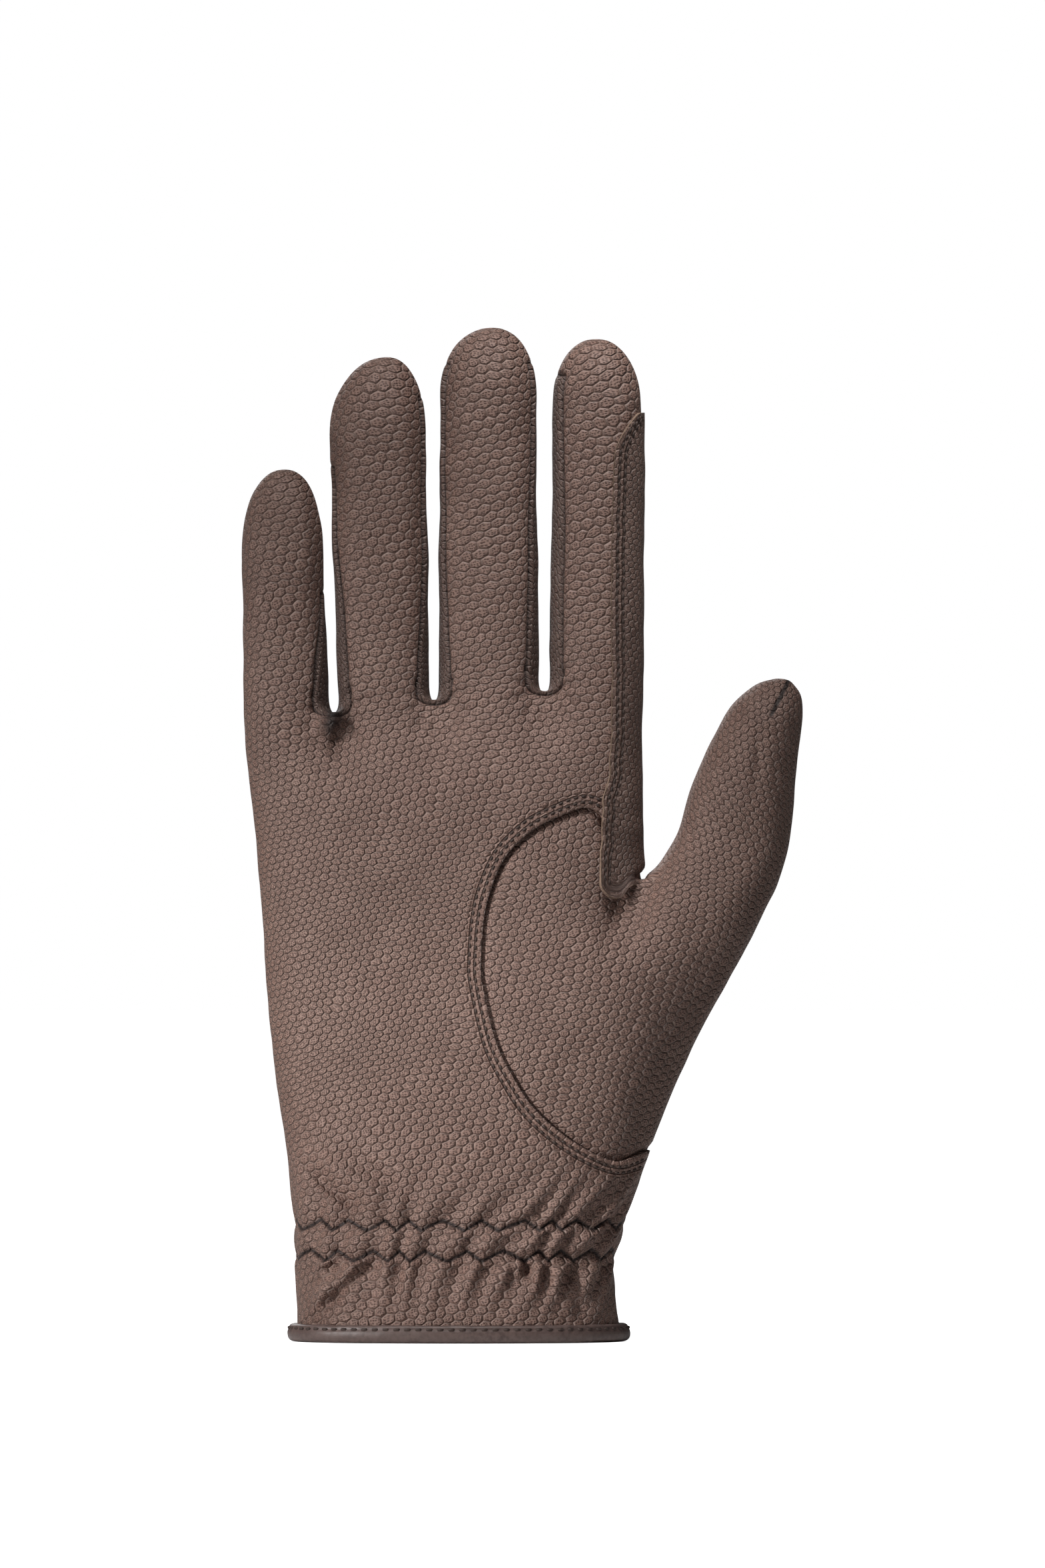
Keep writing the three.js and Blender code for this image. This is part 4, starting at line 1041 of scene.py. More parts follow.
@dataclass
class Relief:
    """The forms that the sewing draws in the leather: swells, gathers, zigzag rows, folds and puckers."""

    net: GloveNet
    thenar_swell: float = 3.0
    palm_hollow: float = 1.6
    gathers: int = 24
    lower_row: float = 20.6
    row_gap: float = 7.2
    zigzag_height: float = 1.25
    zigzag_depth: float = 0.85
    zigzag_half: float = 0.55
    gather_inset: float = 1.0
    gather_wave: float = 1.65
    fill: float = 0.02
    pinch_depth: float = 5.4
    pinch_length: float = 8.5
    pinch_lean: float = 0.28
    dart: tuple[tuple[float, float], ...] = ((1.82, 1.43), (1.775, 1.395), (1.72, 1.353))
    folds: tuple[Fold, ...] = (
        Fold((-0.85, 0.374), (-0.5, 0.275), -1.9, 1.3),
        Fold((-0.8, 0.41), (-0.38, 0.3), 2.6, 2.2),
        Fold((-0.62, 0.415), (-0.22, 0.31), -1.3, 1.8),
        Fold((-0.9, 0.098), (-0.63, 0.186), -1.7, 1.1),
        Fold((-0.84, 0.15), (-0.72, 0.186), 1.0, 1.4),
        Fold((-0.8, 0.056), (-0.44, 0.186), -1.7, 1.2),
        Fold((-0.84, 0.075), (-0.55, 0.176), 2.4, 2.0),
        Fold((-0.5, 0.09), (-0.3, 0.16), -0.5, 1.8),
        Fold((0.3, 0.185), (0.29, 0.12), -1.2, 1.1),
        Fold((0.37, 0.19), (0.4, 0.125), -1.4, 1.0),
        Fold((0.42, 0.18), (0.44, 0.09), 1.0, 1.5),
        Fold((0.47, 0.19), (0.48, 0.12), -1.2, 1.0),
        Fold((0.53, 0.18), (0.565, 0.08), 1.5, 1.7),
        Fold((0.585, 0.19), (0.67, 0.06), -1.5, 1.2),
        Fold((0.69, 0.17), (0.76, 0.07), 1.0, 1.6),
        Fold((1.82, 1.43), (1.72, 1.353), -2.0, 0.7),
        Fold((1.78, 1.45), (1.69, 1.37), 0.35, 1.5),
        Fold((1.66, 1.34), (1.63, 1.2), -0.7, 1.0),
        Fold((1.6, 1.33), (1.585, 1.19), 0.5, 1.3),
        Fold((1.72, 1.31), (1.7, 1.17), 0.45, 1.3),
    )

    def __post_init__(self) -> None:
        """Prepare the count of gathers round the wrist."""
        length = self.net.lower_section(self.lower_row / self.net.thumb_crotch).outline()[1]
        self.share = length / length[-1]
        self.turn = np.linspace(0.0, 2 * np.pi, len(length))

    def palmward(self, places: Points) -> Points:
        """Return how far each point belongs to the palm's face, from 0 to 1."""
        depth = self.net.palm_depth
        return smoothstep(-places[:, 1], 0.2 * depth, 0.45 * depth)

    def round_wrist(self, places: Points) -> Points:
        """Return each point's share of the way round the wrist, from the little finger over the palm."""
        full = self.net.thumb_crotch
        heights = np.linspace(0.0, full * 0.6, 40)
        sections = [self.net.lower_section(h / full) for h in heights]
        middle, width, half = (
            np.interp(places[:, 2], heights, [getattr(s, name) for s in sections])
            for name in ("middle", "width", "half")
        )
        power = self.net.palm_squareness / 2
        across = signed_power(-(places[:, 0] - middle) / (width / 2), power)
        turn = np.arctan2(signed_power(-places[:, 1] / half, power), across) % (2 * np.pi)
        return np.interp(turn, self.turn, self.share)

    def count_of(self, places: Points) -> Points:
        """Return each point's count of gathers, which is a little uneven as sewn by hand."""
        share = self.round_wrist(places)
        uneven = 0.16 * np.sin(2 * np.pi * share * 5 + 0.8) + 0.1 * np.sin(2 * np.pi * share * 11)
        return share * self.gathers + uneven

    def zigzag_rows(self) -> tuple[tuple[float, float], ...]:
        """Return the heights of the two zigzag rows and how far each is shifted round the wrist."""
        return (self.lower_row, -0.16), (self.lower_row + self.row_gap, 0.16)

    def gathered(self, places: Points, normals: Points) -> Points:
        """Return how far the gathers push each point outwards, less at the glove's two sides."""
        count = self.count_of(places)
        z = places[:, 2]
        upper = self.lower_row + self.row_gap
        middle = (self.lower_row + upper) / 2
        lean = lerp(0.18, 0.6, smoothstep(places[:, 0], -20.0, 20.0)) * (z - middle) / self.row_gap
        wave = np.cos(2 * np.pi * (count - lean))
        out = np.zeros(len(places))
        for row, shift in self.zigzag_rows():
            near = (z - self.zigzag_line(row, shift, count)) * ZIGZAG_SLOPE
            out -= self.zigzag_depth * bell(near, self.zigzag_half)
            out -= self.gather_inset * 0.55 * bell(z - row, 3.4)
        between = np.clip(1.0 - ((z - middle) / (self.row_gap / 2)) ** 2, 0.0, 1.0)
        out += between * self.gather_wave * (0.5 * wave + 0.35)
        above = smoothstep(z, upper, upper + 3.0) * np.exp(-np.clip(z - upper, 0, None) / 6.0)
        below = smoothstep(-z, -self.lower_row, -self.lower_row + 3.0)
        below *= np.exp(-np.clip(self.lower_row - z, 0, None) / 8.0) * smoothstep(z, 4.0, 9.0)
        out += (above * 0.7 + below * 0.9) * self.gather_wave * wave
        side = lerp(0.3, 1.0, smoothstep(np.abs(normals[:, 1]), 0.2, 0.75))
        return out * smoothstep(z, 4.0, 7.5) * side

    def folded(self, places: Points, fold: Fold) -> Points:
        """Return how far one fold pushes each point outwards."""
        start, end = np.array(fold.start) * self.net.scale, np.array(fold.end) * self.net.scale
        run = end - start
        rel = places[:, [0, 2]] - start
        t = np.clip(rel @ run / (run @ run), 0.0, 1.0)
        off = np.linalg.norm(rel - t[:, None] * run, axis=1)
        return fold.height * bell(off, fold.half) * (0.35 + 0.65 * np.sin(np.pi * t))

    def wavy(self, places: Points) -> Points:
        """Return the slight unevenness of soft leather."""
        broad = [noise.noise(Vector(p / 15.0)) for p in places]
        fine = [noise.noise(Vector(p / 5.5 + 40.0)) for p in places]
        return 0.38 * np.array(broad) + 0.14 * np.array(fine)

    def puckered(self, places: Points) -> Points:
        """Return the small wrinkles that run out from the bottoms of the finger gaps."""
        out = np.zeros(len(places))
        net = self.net
        for i, crotch in enumerate(net.crotches):
            dx, dz = places[:, 0] - net.gap_middle(i), places[:, 2] - net.height(crotch)
            reach = np.hypot(dx, dz)
            turn = np.arctan2(dz, dx)
            out += 0.28 * np.cos(turn * 11 + i) * bell(reach - 6.0, 3.0)
        return out

    def zigzag_line(self, row: float, shift: float, count: Points) -> Points:
        """Return the height of one zigzag row at each count of gathers."""
        phase = (count - shift) % 1.0
        return row + self.zigzag_height * (1.0 - 4.0 * np.abs(phase - 0.5))

    def zigzag_distance(self, places: Points) -> Points:
        """Return each point's distance from the nearest zigzag row, and on the palm's side from the thumb's
        dart and from the pinch below the little finger's gap; the material paints shade where it is small.
        """
        count = self.count_of(places)
        away = np.full(len(places), FAR)
        for row, shift in self.zigzag_rows():
            line = self.zigzag_line(row, shift, count)
            away = np.minimum(away, np.abs(places[:, 2] - line) * ZIGZAG_SLOPE)
        dart = spline(np.array(self.dart) * self.net.scale, 0.2)
        facing = np.where(places[:, 1] < 0, 0.0, FAR)
        away = np.minimum(away, nearest_on(places[:, [0, 2]], dart)[0] * 0.8 + facing)
        return np.minimum(away, 0.62 - 0.45 * np.abs(self.pinched(places)) / self.pinch_depth + facing)

    def swell(self, places: Points) -> Points:
        """Return the points with the ball of the thumb swollen and the palm hollowed."""
        net = self.net
        x, z = places[:, 0], places[:, 2]
        full, side = net.thumb_crotch, net.knuckle_right
        swell = bell(x - 0.75 * side, 0.55 * side) * bell(z - 0.76 * full, 0.26 * full)
        hollow = bell(x + 0.15 * side, 0.5 * side) * bell(z - 0.9 * full, 0.3 * full)
        moved = places.copy()
        moved[:, 1] -= self.palmward(places) * (self.thenar_swell * swell - self.palm_hollow * hollow)
        return moved

    def apply(self, places: Points, normals: Points) -> Points:
        """Move the points of one piece.

        Args:
            places: The points in millimetres.
            normals: The outward direction at each.

        Returns:
            The points, swollen, gathered and folded.
        """
        facing = self.palmward(places)
        moved = self.swell(places)
        for fold in self.folds:
            moved[:, 1] -= facing * self.folded(places, fold)
        out = self.fill + self.gathered(places, normals) + self.wavy(places)
        face = smoothstep(np.abs(places[:, 1]), 3.0, 7.0)
        out += self.puckered(places) * face
        moved[:, 1] -= np.sign(places[:, 1]) * face * self.pinched(places)
        return moved + normals * out[:, None]

    def pinched(self, places: Points) -> Points:
        """Return how far the leather below the gap beside the little finger is drawn in, to a deep pinch that
        the material darkens with painted shade.
        """
        net = self.net
        crotch = net.crotches[0]
        dz = places[:, 2] - (net.height(crotch) - net.gap(crotch) / 2)
        dx = places[:, 0] - net.gap_middle(0) - dz * self.pinch_lean
        along = smoothstep(dz, -self.pinch_length, -2.0) * smoothstep(-dz, -3.0, 0.0)
        return -self.pinch_depth * bell(dx, lerp(1.0, 2.6, np.clip(along, 0, 1))) * along


def outward(section: Section, share: Points) -> tuple[Points, Points]:
    """Place points round a section by their share of its length.

    Args:
        section: The section to go round.
        share: Shares of the way round, from the little finger's side over the palm.

    Returns:
        Rows of x and y, and the outward directions there.
    """
    line, length = section.outline()
    at = (np.asarray(share) % 1.0) * length[-1]
    along = read_along(line, length, (at + SIDE_STEP) % length[-1])
    along -= read_along(line, length, (at - SIDE_STEP) % length[-1])
    along /= np.linalg.norm(along, axis=1)[:, None]
    return read_along(line, length, at), np.column_stack([along[:, 1], -along[:, 0]])


def set_attribute(mesh: Mesh, name: str, values: Points) -> None:
    """Keep one number for each point of a mesh, in place of what the name stood for before."""
    attribute = mesh.attributes.get(name) or mesh.attributes.new(name, "FLOAT", "POINT")
    attribute.data.foreach_set("value", np.asarray(values, np.float32))


def corners_of(mesh: Mesh) -> Points:
    """Return the point number of each face corner."""
    return read(mesh.loops, "vertex_index", kind=np.int64)


def border_of(mesh: Mesh) -> np.ndarray:
    """Say which points lie on an open border."""
    uses = np.bincount(read(mesh.loops, "edge_index", kind=np.int64), minlength=len(mesh.edges))
    mask = np.zeros(len(mesh.vertices), bool)
    mask[read(mesh.edges, "vertices", 2, np.int64)[uses == 1].ravel()] = True
    return mask


def delete_faces(obj: Object, mask: np.ndarray) -> None:
    """Delete the faces that a mask names, with what they leave loose."""
    with editing(obj, "DESELECT", "FACE"):
        pass
    obj.data.polygons.foreach_set("select", mask)
    bpy.ops.object.mode_set(mode="EDIT")
    bpy.ops.mesh.delete(type="FACE")
    bpy.ops.object.mode_set(mode="OBJECT")


def turn_in(obj: Object, depth: float) -> None:
    """Turn the open borders of a piece in, against the directions kept when it was whole.

    Args:
        obj: The piece.
        depth: How far the edge goes in, in millimetres.
    """
    mesh = obj.data
    places, border = places_of(mesh), border_of(mesh)
    normals = read(mesh.attributes["outward"].data, "vector", 3)
    before = len(places)
    with editing(obj, "DESELECT", "EDGE"):
        bpy.ops.mesh.select_non_manifold(
            extend=False, use_wire=False, use_multi_face=False, use_non_contiguous=False
        )
        bpy.ops.mesh.extrude_edges_indiv()
    moved = places_of(mesh)
    source = {tuple(np.round(places[i], 4)): i for i in np.flatnonzero(border)}
    for i in range(before, len(moved)):
        origin = source.get(tuple(np.round(moved[i], 4)))
        if origin is not None:
            moved[i] -= normals[origin] * depth
    set_places(mesh, moved)
    mesh.attributes.remove(mesh.attributes["outward"])


@dataclass
class LeatherShell:
    """The sewn leather pieces of the hand and the thumb."""

    net: GloveNet
    relief: Relief
    seam: ThumbSeam
    wall: float = 1.2
    lap: float = 2.4
    sink: float = 0.95
    lift: float = 0.35
    seam_dip: float = 0.7
    seam_half: float = 0.6
    side_share: float = 0.3
    side_sink: float = 0.6
    lining_depth: float = 2.7

    def build(self) -> dict[Piece, Object]:
        """Build the pieces.

        Returns:
            The objects by piece.
        """
        hand = self.net.to_object("hand_net", thumb=False)
        thumb = self.net.to_object("thumb_net", thumb=True)
        self.shape(hand, is_thumb=False)
        self.shape(thumb, is_thumb=True)
        self.hand_tree = tree_of(hand.data)
        self.trim(hand, 0.0, keep_inside=False)
        self.trim(thumb, self.lap, keep_inside=True)
        with editing(hand):
            bpy.ops.mesh.separate(type="MATERIAL")
        pieces = {Piece.THUMB: thumb}
        for obj in bpy.context.selected_objects:
            name = obj.material_slots[0].material.name
            pieces[next(p for p in Piece if name == f"net_{p.name.lower()}")] = obj
        for obj in pieces.values():
            turn_in(obj, self.wall)
            shade_smooth(obj)
        return pieces

    def shape(self, obj: Object, is_thumb: bool) -> None:
        """Give a subdivided part its swells, gathers, seams and laps."""
        mesh = obj.data
        places, normals = places_of(mesh), normals_of(mesh)
        lap = self.seam.distance(places)
        seam = np.full(len(places), FAR) if is_thumb else self.distance_from_borders(mesh, places)
        zigzag = self.relief.zigzag_distance(places)
        moved = self.relief.apply(places, normals)
        depth = lerp(self.side_share, 1.0, smoothstep(np.abs(places[:, 1]), 0.8, 3.5))
        out = -self.seam_dip * bell(seam, self.seam_half) * depth
        facing = lerp(self.side_share, 1.0, smoothstep(np.abs(normals[:, 1]), 0.1, 0.55))
        if is_thumb:
            out -= self.sink * smoothstep(lap, -2.2, -0.1) * lerp(self.side_sink, 1.0, facing)
        else:
            out += self.lift * bell(lap - 0.6, 2.2) * facing
        set_places(mesh, moved + normals * out[:, None])
        # Kept for the material, which paints shade by these distances along the seams, the zigzag rows, the
        # dart, the pinch and the stitch lines.
        for name, values in (("seam", seam), ("lap", lap), ("zigzag", zigzag)):
            set_attribute(mesh, name, values)
        outward_now = mesh.attributes.new("outward", "FLOAT_VECTOR", "POINT")
        outward_now.data.foreach_set("vector", normals_of(mesh).astype(np.float32).ravel())

    def distance_from_borders(self, mesh: Mesh, places: Points) -> Points:
        """Return each point's distance from the nearest border between two pieces."""
        corners = corners_of(mesh)
        totals = read(mesh.polygons, "loop_total", kind=np.int64)
        numbers = np.repeat(read(mesh.polygons, "material_index", kind=np.int64), totals)
        low = np.full(len(places), len(Piece))
        high = np.full(len(places), -1)
        np.minimum.at(low, corners, numbers)
        np.maximum.at(high, corners, numbers)
        return nearest_on(places, places[low != high])[0]

    def trim(self, obj: Object, at: float, keep_inside: bool) -> None:
        """Cut a part along the thumb's seam.

        Args:
            obj: The part.
            at: How far outside the seam the cut runs, in millimetres.
            keep_inside: Whether the thumb's side is kept.
        """
        mesh = obj.data
        lap = read(mesh.attributes["lap"].data, "value")
        totals = read(mesh.polygons, "loop_total", kind=np.int64)
        owner = np.repeat(np.arange(len(totals)), totals)
        mean = np.bincount(owner, weights=lap[corners_of(mesh)]) / totals
        delete_faces(obj, mean > at if keep_inside else mean < at)
        places, normals = places_of(mesh), normals_of(mesh)
        lap = read(mesh.attributes["lap"].data, "value")
        edge = np.flatnonzero(border_of(mesh) & (np.abs(lap - at) < SEAM_REACH))
        line = self.seam.offset(at)
        for _ in range(SEAM_ROUNDS):
            flat = places[edge][:, [0, 2]]
            _, goal = nearest_on(flat, line)
            step = np.zeros((len(edge), 3))
            step[:, [0, 2]] = goal - flat
            step -= normals[edge] * (step * normals[edge]).sum(axis=1)[:, None]
            length = np.linalg.norm(step, axis=1)
            places[edge] += step * np.minimum(1.0, SEAM_STEP / np.maximum(length, TINY))[:, None]
        set_places(mesh, places)
        lap[edge] = at
        set_attribute(mesh, "lap", lap)

    def build_lining(self) -> Object:
        """Build the inner side of the leather, which shows through the wrist."""
        obj = new_object("glove_lining", np.array(self.net.points), [c[0] for c in self.net.cells])
        mesh = obj.data
        apply_modifier(obj, "SUBSURF", levels=1, render_levels=1)
        places, normals = places_of(mesh), normals_of(mesh)
        set_places(mesh, self.relief.swell(places) - normals * self.lining_depth)
        with editing(obj):
            bpy.ops.uv.smart_project(scale_to_bounds=False)
            bpy.ops.mesh.flip_normals()
        shade_smooth(obj)
        return obj


def tree_of(mesh: Mesh) -> BVHTree:
    """Make a search tree of a mesh's faces, in metres."""
    faces = [tuple(p.vertices) for p in mesh.polygons]
    return BVHTree.FromPolygons(read(mesh.vertices, "co", 3).tolist(), faces)


def cast(tree: BVHTree, start: Sequence[float], towards: Sequence[float]) -> tuple[Points, Points] | None:
    """Cast a ray at a mesh.

    Args:
        tree: The mesh's search tree.
        start: Where the ray starts, in millimetres.
        towards: Its direction.

    Returns:
        The place that it meets in millimetres and the direction outwards there, or None.
    """
    hit, normal, _, _ = tree.ray_cast(Vector(start) * MM, Vector(towards).normalized())
    if hit is None:
        return None
    return np.array(hit) / MM, np.array(normal)


def runs_over(grid: Points, axis: int) -> Points:
    """Return the length run over a grid of points along one of its axes."""
    steps = np.cumsum(np.linalg.norm(np.diff(grid, axis=axis), axis=2), axis=axis)
    return np.concatenate([np.zeros_like(steps.take([0], axis)), steps], axis=axis)


@dataclass
class SidePatch:
    """The long guard sewn on the index finger's outer side, with its raw edge and folded lower end."""

    net: GloveNet
    top: float = 219.6
    bottom: float = 108.0
    thickness: float = 0.75
    clearance: float = 0.12
    rows: int = 96
    columns: int = 28
    lower_lift: float = 1.3
    fray: float = 0.55
    stitch_insets: tuple[float, float] = (1.35, 2.9)
    edge: tuple[tuple[float, float], ...] = (
        (100.0, 0.755), (108.3, 0.765), (116.7, 0.779), (129.1, 0.793), (132.8, 0.823), (140.5, 0.835),
        (156.6, 0.844), (172.7, 0.837), (196.8, 0.844), (209.7, 0.856), (212.9, 0.877), (216.5, 0.925),
        (219.3, 0.975), (221.5, 1.02),
    )
    low_end: tuple[tuple[float, float], ...] = (
        (0.0, -0.8), (0.07, -3.0), (0.16, -3.4), (0.27, -0.5), (0.5, 1.6), (0.73, -0.5), (0.84, -3.4),
        (0.93, -3.0), (1.0, -0.8),
    )

    def edge_at(self, z: float) -> float:
        """Return where the patch's edge lies across the palm, at a height."""
        knots = np.array(self.edge)
        return float(np.interp(z, knots[:, 0], knots[:, 1]) * self.net.knuckle_right)

    def build(self, tree: BVHTree) -> Object:
        """Lay the patch on the glove.

        Args:
            tree: The search tree of the shell that it is sewn to.

        Returns:
            The patch.
        """
        low = np.array(self.low_end)
        share = np.linspace(0.0, 1.0, self.columns + 1)
        dip = np.interp(share, low[:, 0], low[:, 1])
        places, normals = [], []
        for v in np.linspace(0.0, 1.0, self.rows + 1):
            height = lerp(self.bottom, self.top, v)
            z = height + dip * (1 - v) ** 6
            x = self.edge_at(height)
            core = x - 5.0
            turns = []
            for side in (-1, 1):
                hit = cast(tree, (x, side * RAY_START, height), (0, -side, 0))
                reach = hit[0][1] if hit else side * 0.6
                turns.append(math.atan2(reach, x - core))
            for turn, at in zip(lerp(turns[0], turns[1], share), z):
                ray = (math.cos(turn), math.sin(turn), 0.0)
                hit = cast(tree, (core, 0.0, at), ray)
                places.append(hit[0] if hit else np.array([x, 0.0, at]))
                normals.append(ray)
        grid = np.array(places).reshape(self.rows + 1, self.columns + 1, 3)
        along = np.gradient(grid, axis=0)
        across = np.gradient(grid, axis=1)
        out = np.cross(across, along)
        out /= np.maximum(np.linalg.norm(out, axis=2), TINY)[..., None]
        v = np.linspace(0.0, 1.0, self.rows + 1)[:, None]
        lift = self.clearance + self.thickness + self.lower_lift * np.exp(-v * 30.0) * np.ones(len(share))
        grid = grid + out * lift[..., None]
        for column, side in ((0, 1), (-1, -1)):
            fray = np.array([noise.noise(Vector((r * 0.37, column * 5.0, 2.0))) for r in range(len(grid))])
            step = grid[:, column + side] - grid[:, column]
            grid[:, column] += step * (fray * self.fray)[:, None]
        self.grid, self.out = grid, out
        return self.to_object(grid)

    def stitch_lines(self) -> list[tuple[Points, Points]]:
        """Return the patch's stitch rows, each with its points and the directions outwards there."""
        lines = []
        for inset in self.stitch_insets:
            for flip in (1, -1):
                grid, out = self.grid[:, ::flip], self.out[:, ::flip]
                places, normals = [], []
                for row, w in enumerate(runs_over(grid, 1)):
                    if w[-1] < 2 * inset + 1.0 or grid[row, 0, 2] < self.bottom + 1.0:
                        continue
                    places.append(read_along(grid[row], w, inset))
                    normals.append(read_along(out[row], w, inset))
                lines.append((np.array(places), np.array(normals)))
        return lines

    def to_object(self, grid: Points) -> Object:
        """Make the patch from its grid of points, with its flat pattern and its distance from the edge."""
        rows, columns = grid.shape[:2]
        bpy.ops.mesh.primitive_grid_add(x_subdivisions=columns - 1, y_subdivisions=rows - 1, size=2.0)
        obj = bpy.context.object
        obj.name = "index_side_guard"
        mesh = obj.data
        start = places_of(mesh) * MM
        u = np.rint((start[:, 0] + 1) / 2 * (columns - 1)).astype(int)
        v = np.rint((start[:, 1] + 1) / 2 * (rows - 1)).astype(int)
        set_places(mesh, grid[v, u])
        width, length = runs_over(grid, 1), runs_over(grid, 0)
        height = np.broadcast_to(grid[:, :1, 2], width.shape)
        flat = np.stack([width - width[:, -1:] / 2, height], axis=2) * MM
        mesh.uv_layers[0].uv.foreach_set("vector", flat[v, u][corners_of(mesh)].ravel())
        edge = np.minimum(np.minimum(width, width[:, -1:] - width), length)
        set_attribute(mesh, "lap", edge[v, u])
        # Far from every seam and zigzag row, so the material paints no crease shade on the guard.
        for name in ("seam", "zigzag"):
            set_attribute(mesh, name, np.full(len(mesh.vertices), FAR))
        for material in ("patch", "raw"):
            mesh.materials.append(bpy.data.materials.new(f"net_{material}"))
        apply_modifier(obj, "SUBSURF", levels=1, render_levels=1)
        apply_modifier(obj, "SOLIDIFY", thickness=self.thickness * MM, offset=-1.0, material_offset_rim=1)
        activate(obj)
        bpy.ops.object.shade_smooth_by_angle(angle=ANGLE_KEPT_SHARP)
        return obj


@dataclass
class HemBinding:
    """The smooth leather rolled over the hem, with its row of stitches."""

    net: GloveNet
    thickness: float = 4.4
    height: float = 4.3
    outset: float = 0.15
    squareness: float = 2.7
    stitch_height: float = 3.3
    groove: float = 0.4
    turns: int = 264
    sides: int = 28
    wrinkle: float = 0.11

    def section(self) -> Section:
        """Return the hem's section."""
        return self.net.lower_section(self.height / 2 / self.net.thumb_crotch)

    def build(self) -> Object:
        """Roll the binding round the hem."""
        bpy.ops.mesh.primitive_torus_add(
            major_segments=self.turns, minor_segments=self.sides, major_radius=1.0, minor_radius=0.25
        )
        obj = bpy.context.object
        obj.name = "rolled_hem_binding"
        mesh = obj.data
        start = places_of(mesh) * MM
        share = (np.arctan2(start[:, 1], start[:, 0]) / (2 * np.pi)) % 1.0
        roll = np.arctan2(start[:, 2], np.hypot(start[:, 0], start[:, 1]) - 1.0)
        place, away = outward(self.section(), share)
        power = 2 / self.squareness
        out = signed_power(np.cos(roll), power) * self.thickness / 2
        z = self.height / 2 + signed_power(np.sin(roll), power) * self.height / 2
        fine = [noise.noise(Vector((s * 260.0, r * 0.9, 3.0))) for s, r in zip(share, roll)]
        broad = [noise.noise(Vector((s * 46.0, r * 0.8, 9.0))) for s, r in zip(share, roll)]
        bend = self.wrinkle * np.array(fine) + 0.16 * np.array(broad)
        out += bend * np.cos(roll)
        z += np.where(z > self.height / 2, bend * np.sin(roll), 0.0)
        outer = smoothstep(np.cos(roll), 0.1, 0.5)
        out -= outer * self.groove * bell(z - self.stitch_height, 0.38)
        flat = place + away * (self.outset + out)[:, None]
        set_places(mesh, np.column_stack([flat, np.maximum(z, 0.0)]))
        uv = read(mesh.uv_layers[0].uv, "vector", 2)
        length = 2 * (self.section().width + self.section().half * 2) * 0.86
        size = np.array([length, self.height + self.thickness]) * MM
        mesh.uv_layers[0].uv.foreach_set("vector", (uv * size).ravel())
        with editing(obj):
            bpy.ops.mesh.normals_make_consistent(inside=False)
        apply_modifier(obj, "SUBSURF", levels=1, render_levels=1)
        shade_smooth(obj)
        return obj

    def stitch_line(self) -> tuple[Points, Points]:
        """Return the places of the binding's stitches and the directions outwards there."""
        share = np.linspace(0.0, 1.0, 700, endpoint=False)
        place, away = outward(self.section(), share)
        out = self.outset + self.thickness / 2 * rounded(
            (self.stitch_height - self.height / 2) / (self.height / 2), self.squareness
        )
        flat = place + away * (out - self.groove * 0.7)
        line = np.column_stack([flat, np.full(len(flat), self.stitch_height)])
        return line, np.column_stack([away, np.zeros(len(away))])


@dataclass(frozen=True)
class StitchRow:
    """How one kind of stitch is sewn, in millimetres."""

    pitch: float
    length: float
    radius: float


@dataclass
class Stitching:
    """The rows of visible stitches, each a copy of one short length of thread."""

    name: str
    places: list[Points] = field(default_factory=list)

    def __post_init__(self) -> None:
        """Make the one short length of thread, 1 long and 1 in radius."""
        bpy.ops.mesh.primitive_cylinder_add(vertices=6, radius=1.0, depth=0.7, rotation=(0, math.pi / 2, 0))
        obj = bpy.context.object
        bpy.ops.object.transform_apply(rotation=True)
        with editing(obj, kind="FACE"):
            bpy.ops.mesh.poke()
        mesh = obj.data
        self.shape = places_of(mesh) * MM
        ends = np.abs(self.shape[:, 0]) > 0.34
        centre = np.hypot(self.shape[:, 1], self.shape[:, 2]) < 0.1
        self.shape[ends & centre, 0] *= 0.5 / 0.35
        self.bow = 1.0 - (self.shape[:, 0] / 0.5) ** 2
        self.faces = [tuple(p.vertices) for p in mesh.polygons]
        bpy.data.objects.remove(obj)

    def sew(self, line: Points, normals: Points, row: StitchRow) -> None:
        """Sew stitches along a line.

        Args:
            line: Points along the line, in millimetres.
            normals: The directions outwards at those points.
            row: The kind of stitch.
        """
        length = run_of(line)
        rise = row.radius * (self.bow * 0.9 - 0.35)
        for at in (np.arange(int(length[-1] / row.pitch)) + 0.5) * row.pitch:
            behind, here, ahead = read_along(line, length, at + np.array([-0.5, 0.0, 0.5]) * row.length)
            up = read_along(normals, length, at)
            up /= np.linalg.norm(up)
            along = ahead - behind
            along -= up * (along @ up)
            along /= max(np.linalg.norm(along), TINY)
            self.places.append(
                here
                + np.outer(self.shape[:, 0] * row.length, along)
                + np.outer(self.shape[:, 1] * row.radius, np.cross(up, along))
                + np.outer(self.shape[:, 2] * row.radius * 0.8 + rise, up)
            )

    def build(self) -> Object:
        """Make one mesh of all the stitches."""
        size = len(self.shape)
        faces = [tuple(i * size + v for v in f) for i in range(len(self.places)) for f in self.faces]
        obj = new_object(self.name, np.vstack(self.places), faces)
        shade_smooth(obj)
        return obj


def project(tree: BVHTree, line: Points, side: int) -> list[tuple[Points, Points]]:
    """Lay an x, z line on the front or the back of a shell.

    Args:
        tree: The shell's search tree.
        line: Points of x and z.
        side: -1 for the palm, 1 for the back.

    Returns:
        The unbroken runs, each with its points and the directions outwards there.
    """
    runs: list[tuple[list[Points], list[Points]]] = [([], [])]
    for x, z in line:
        hit = cast(tree, (x, side * RAY_START, z), (0, -side, 0))
        if hit is None or hit[1][1] * side < SQUARE_ENOUGH:
            if runs[-1][0]:
                runs.append(([], []))
            continue
        runs[-1][0].append(hit[0])
        runs[-1][1].append(hit[1])
    return [(np.array(p), np.array(n)) for p, n in runs if len(p) > 4]


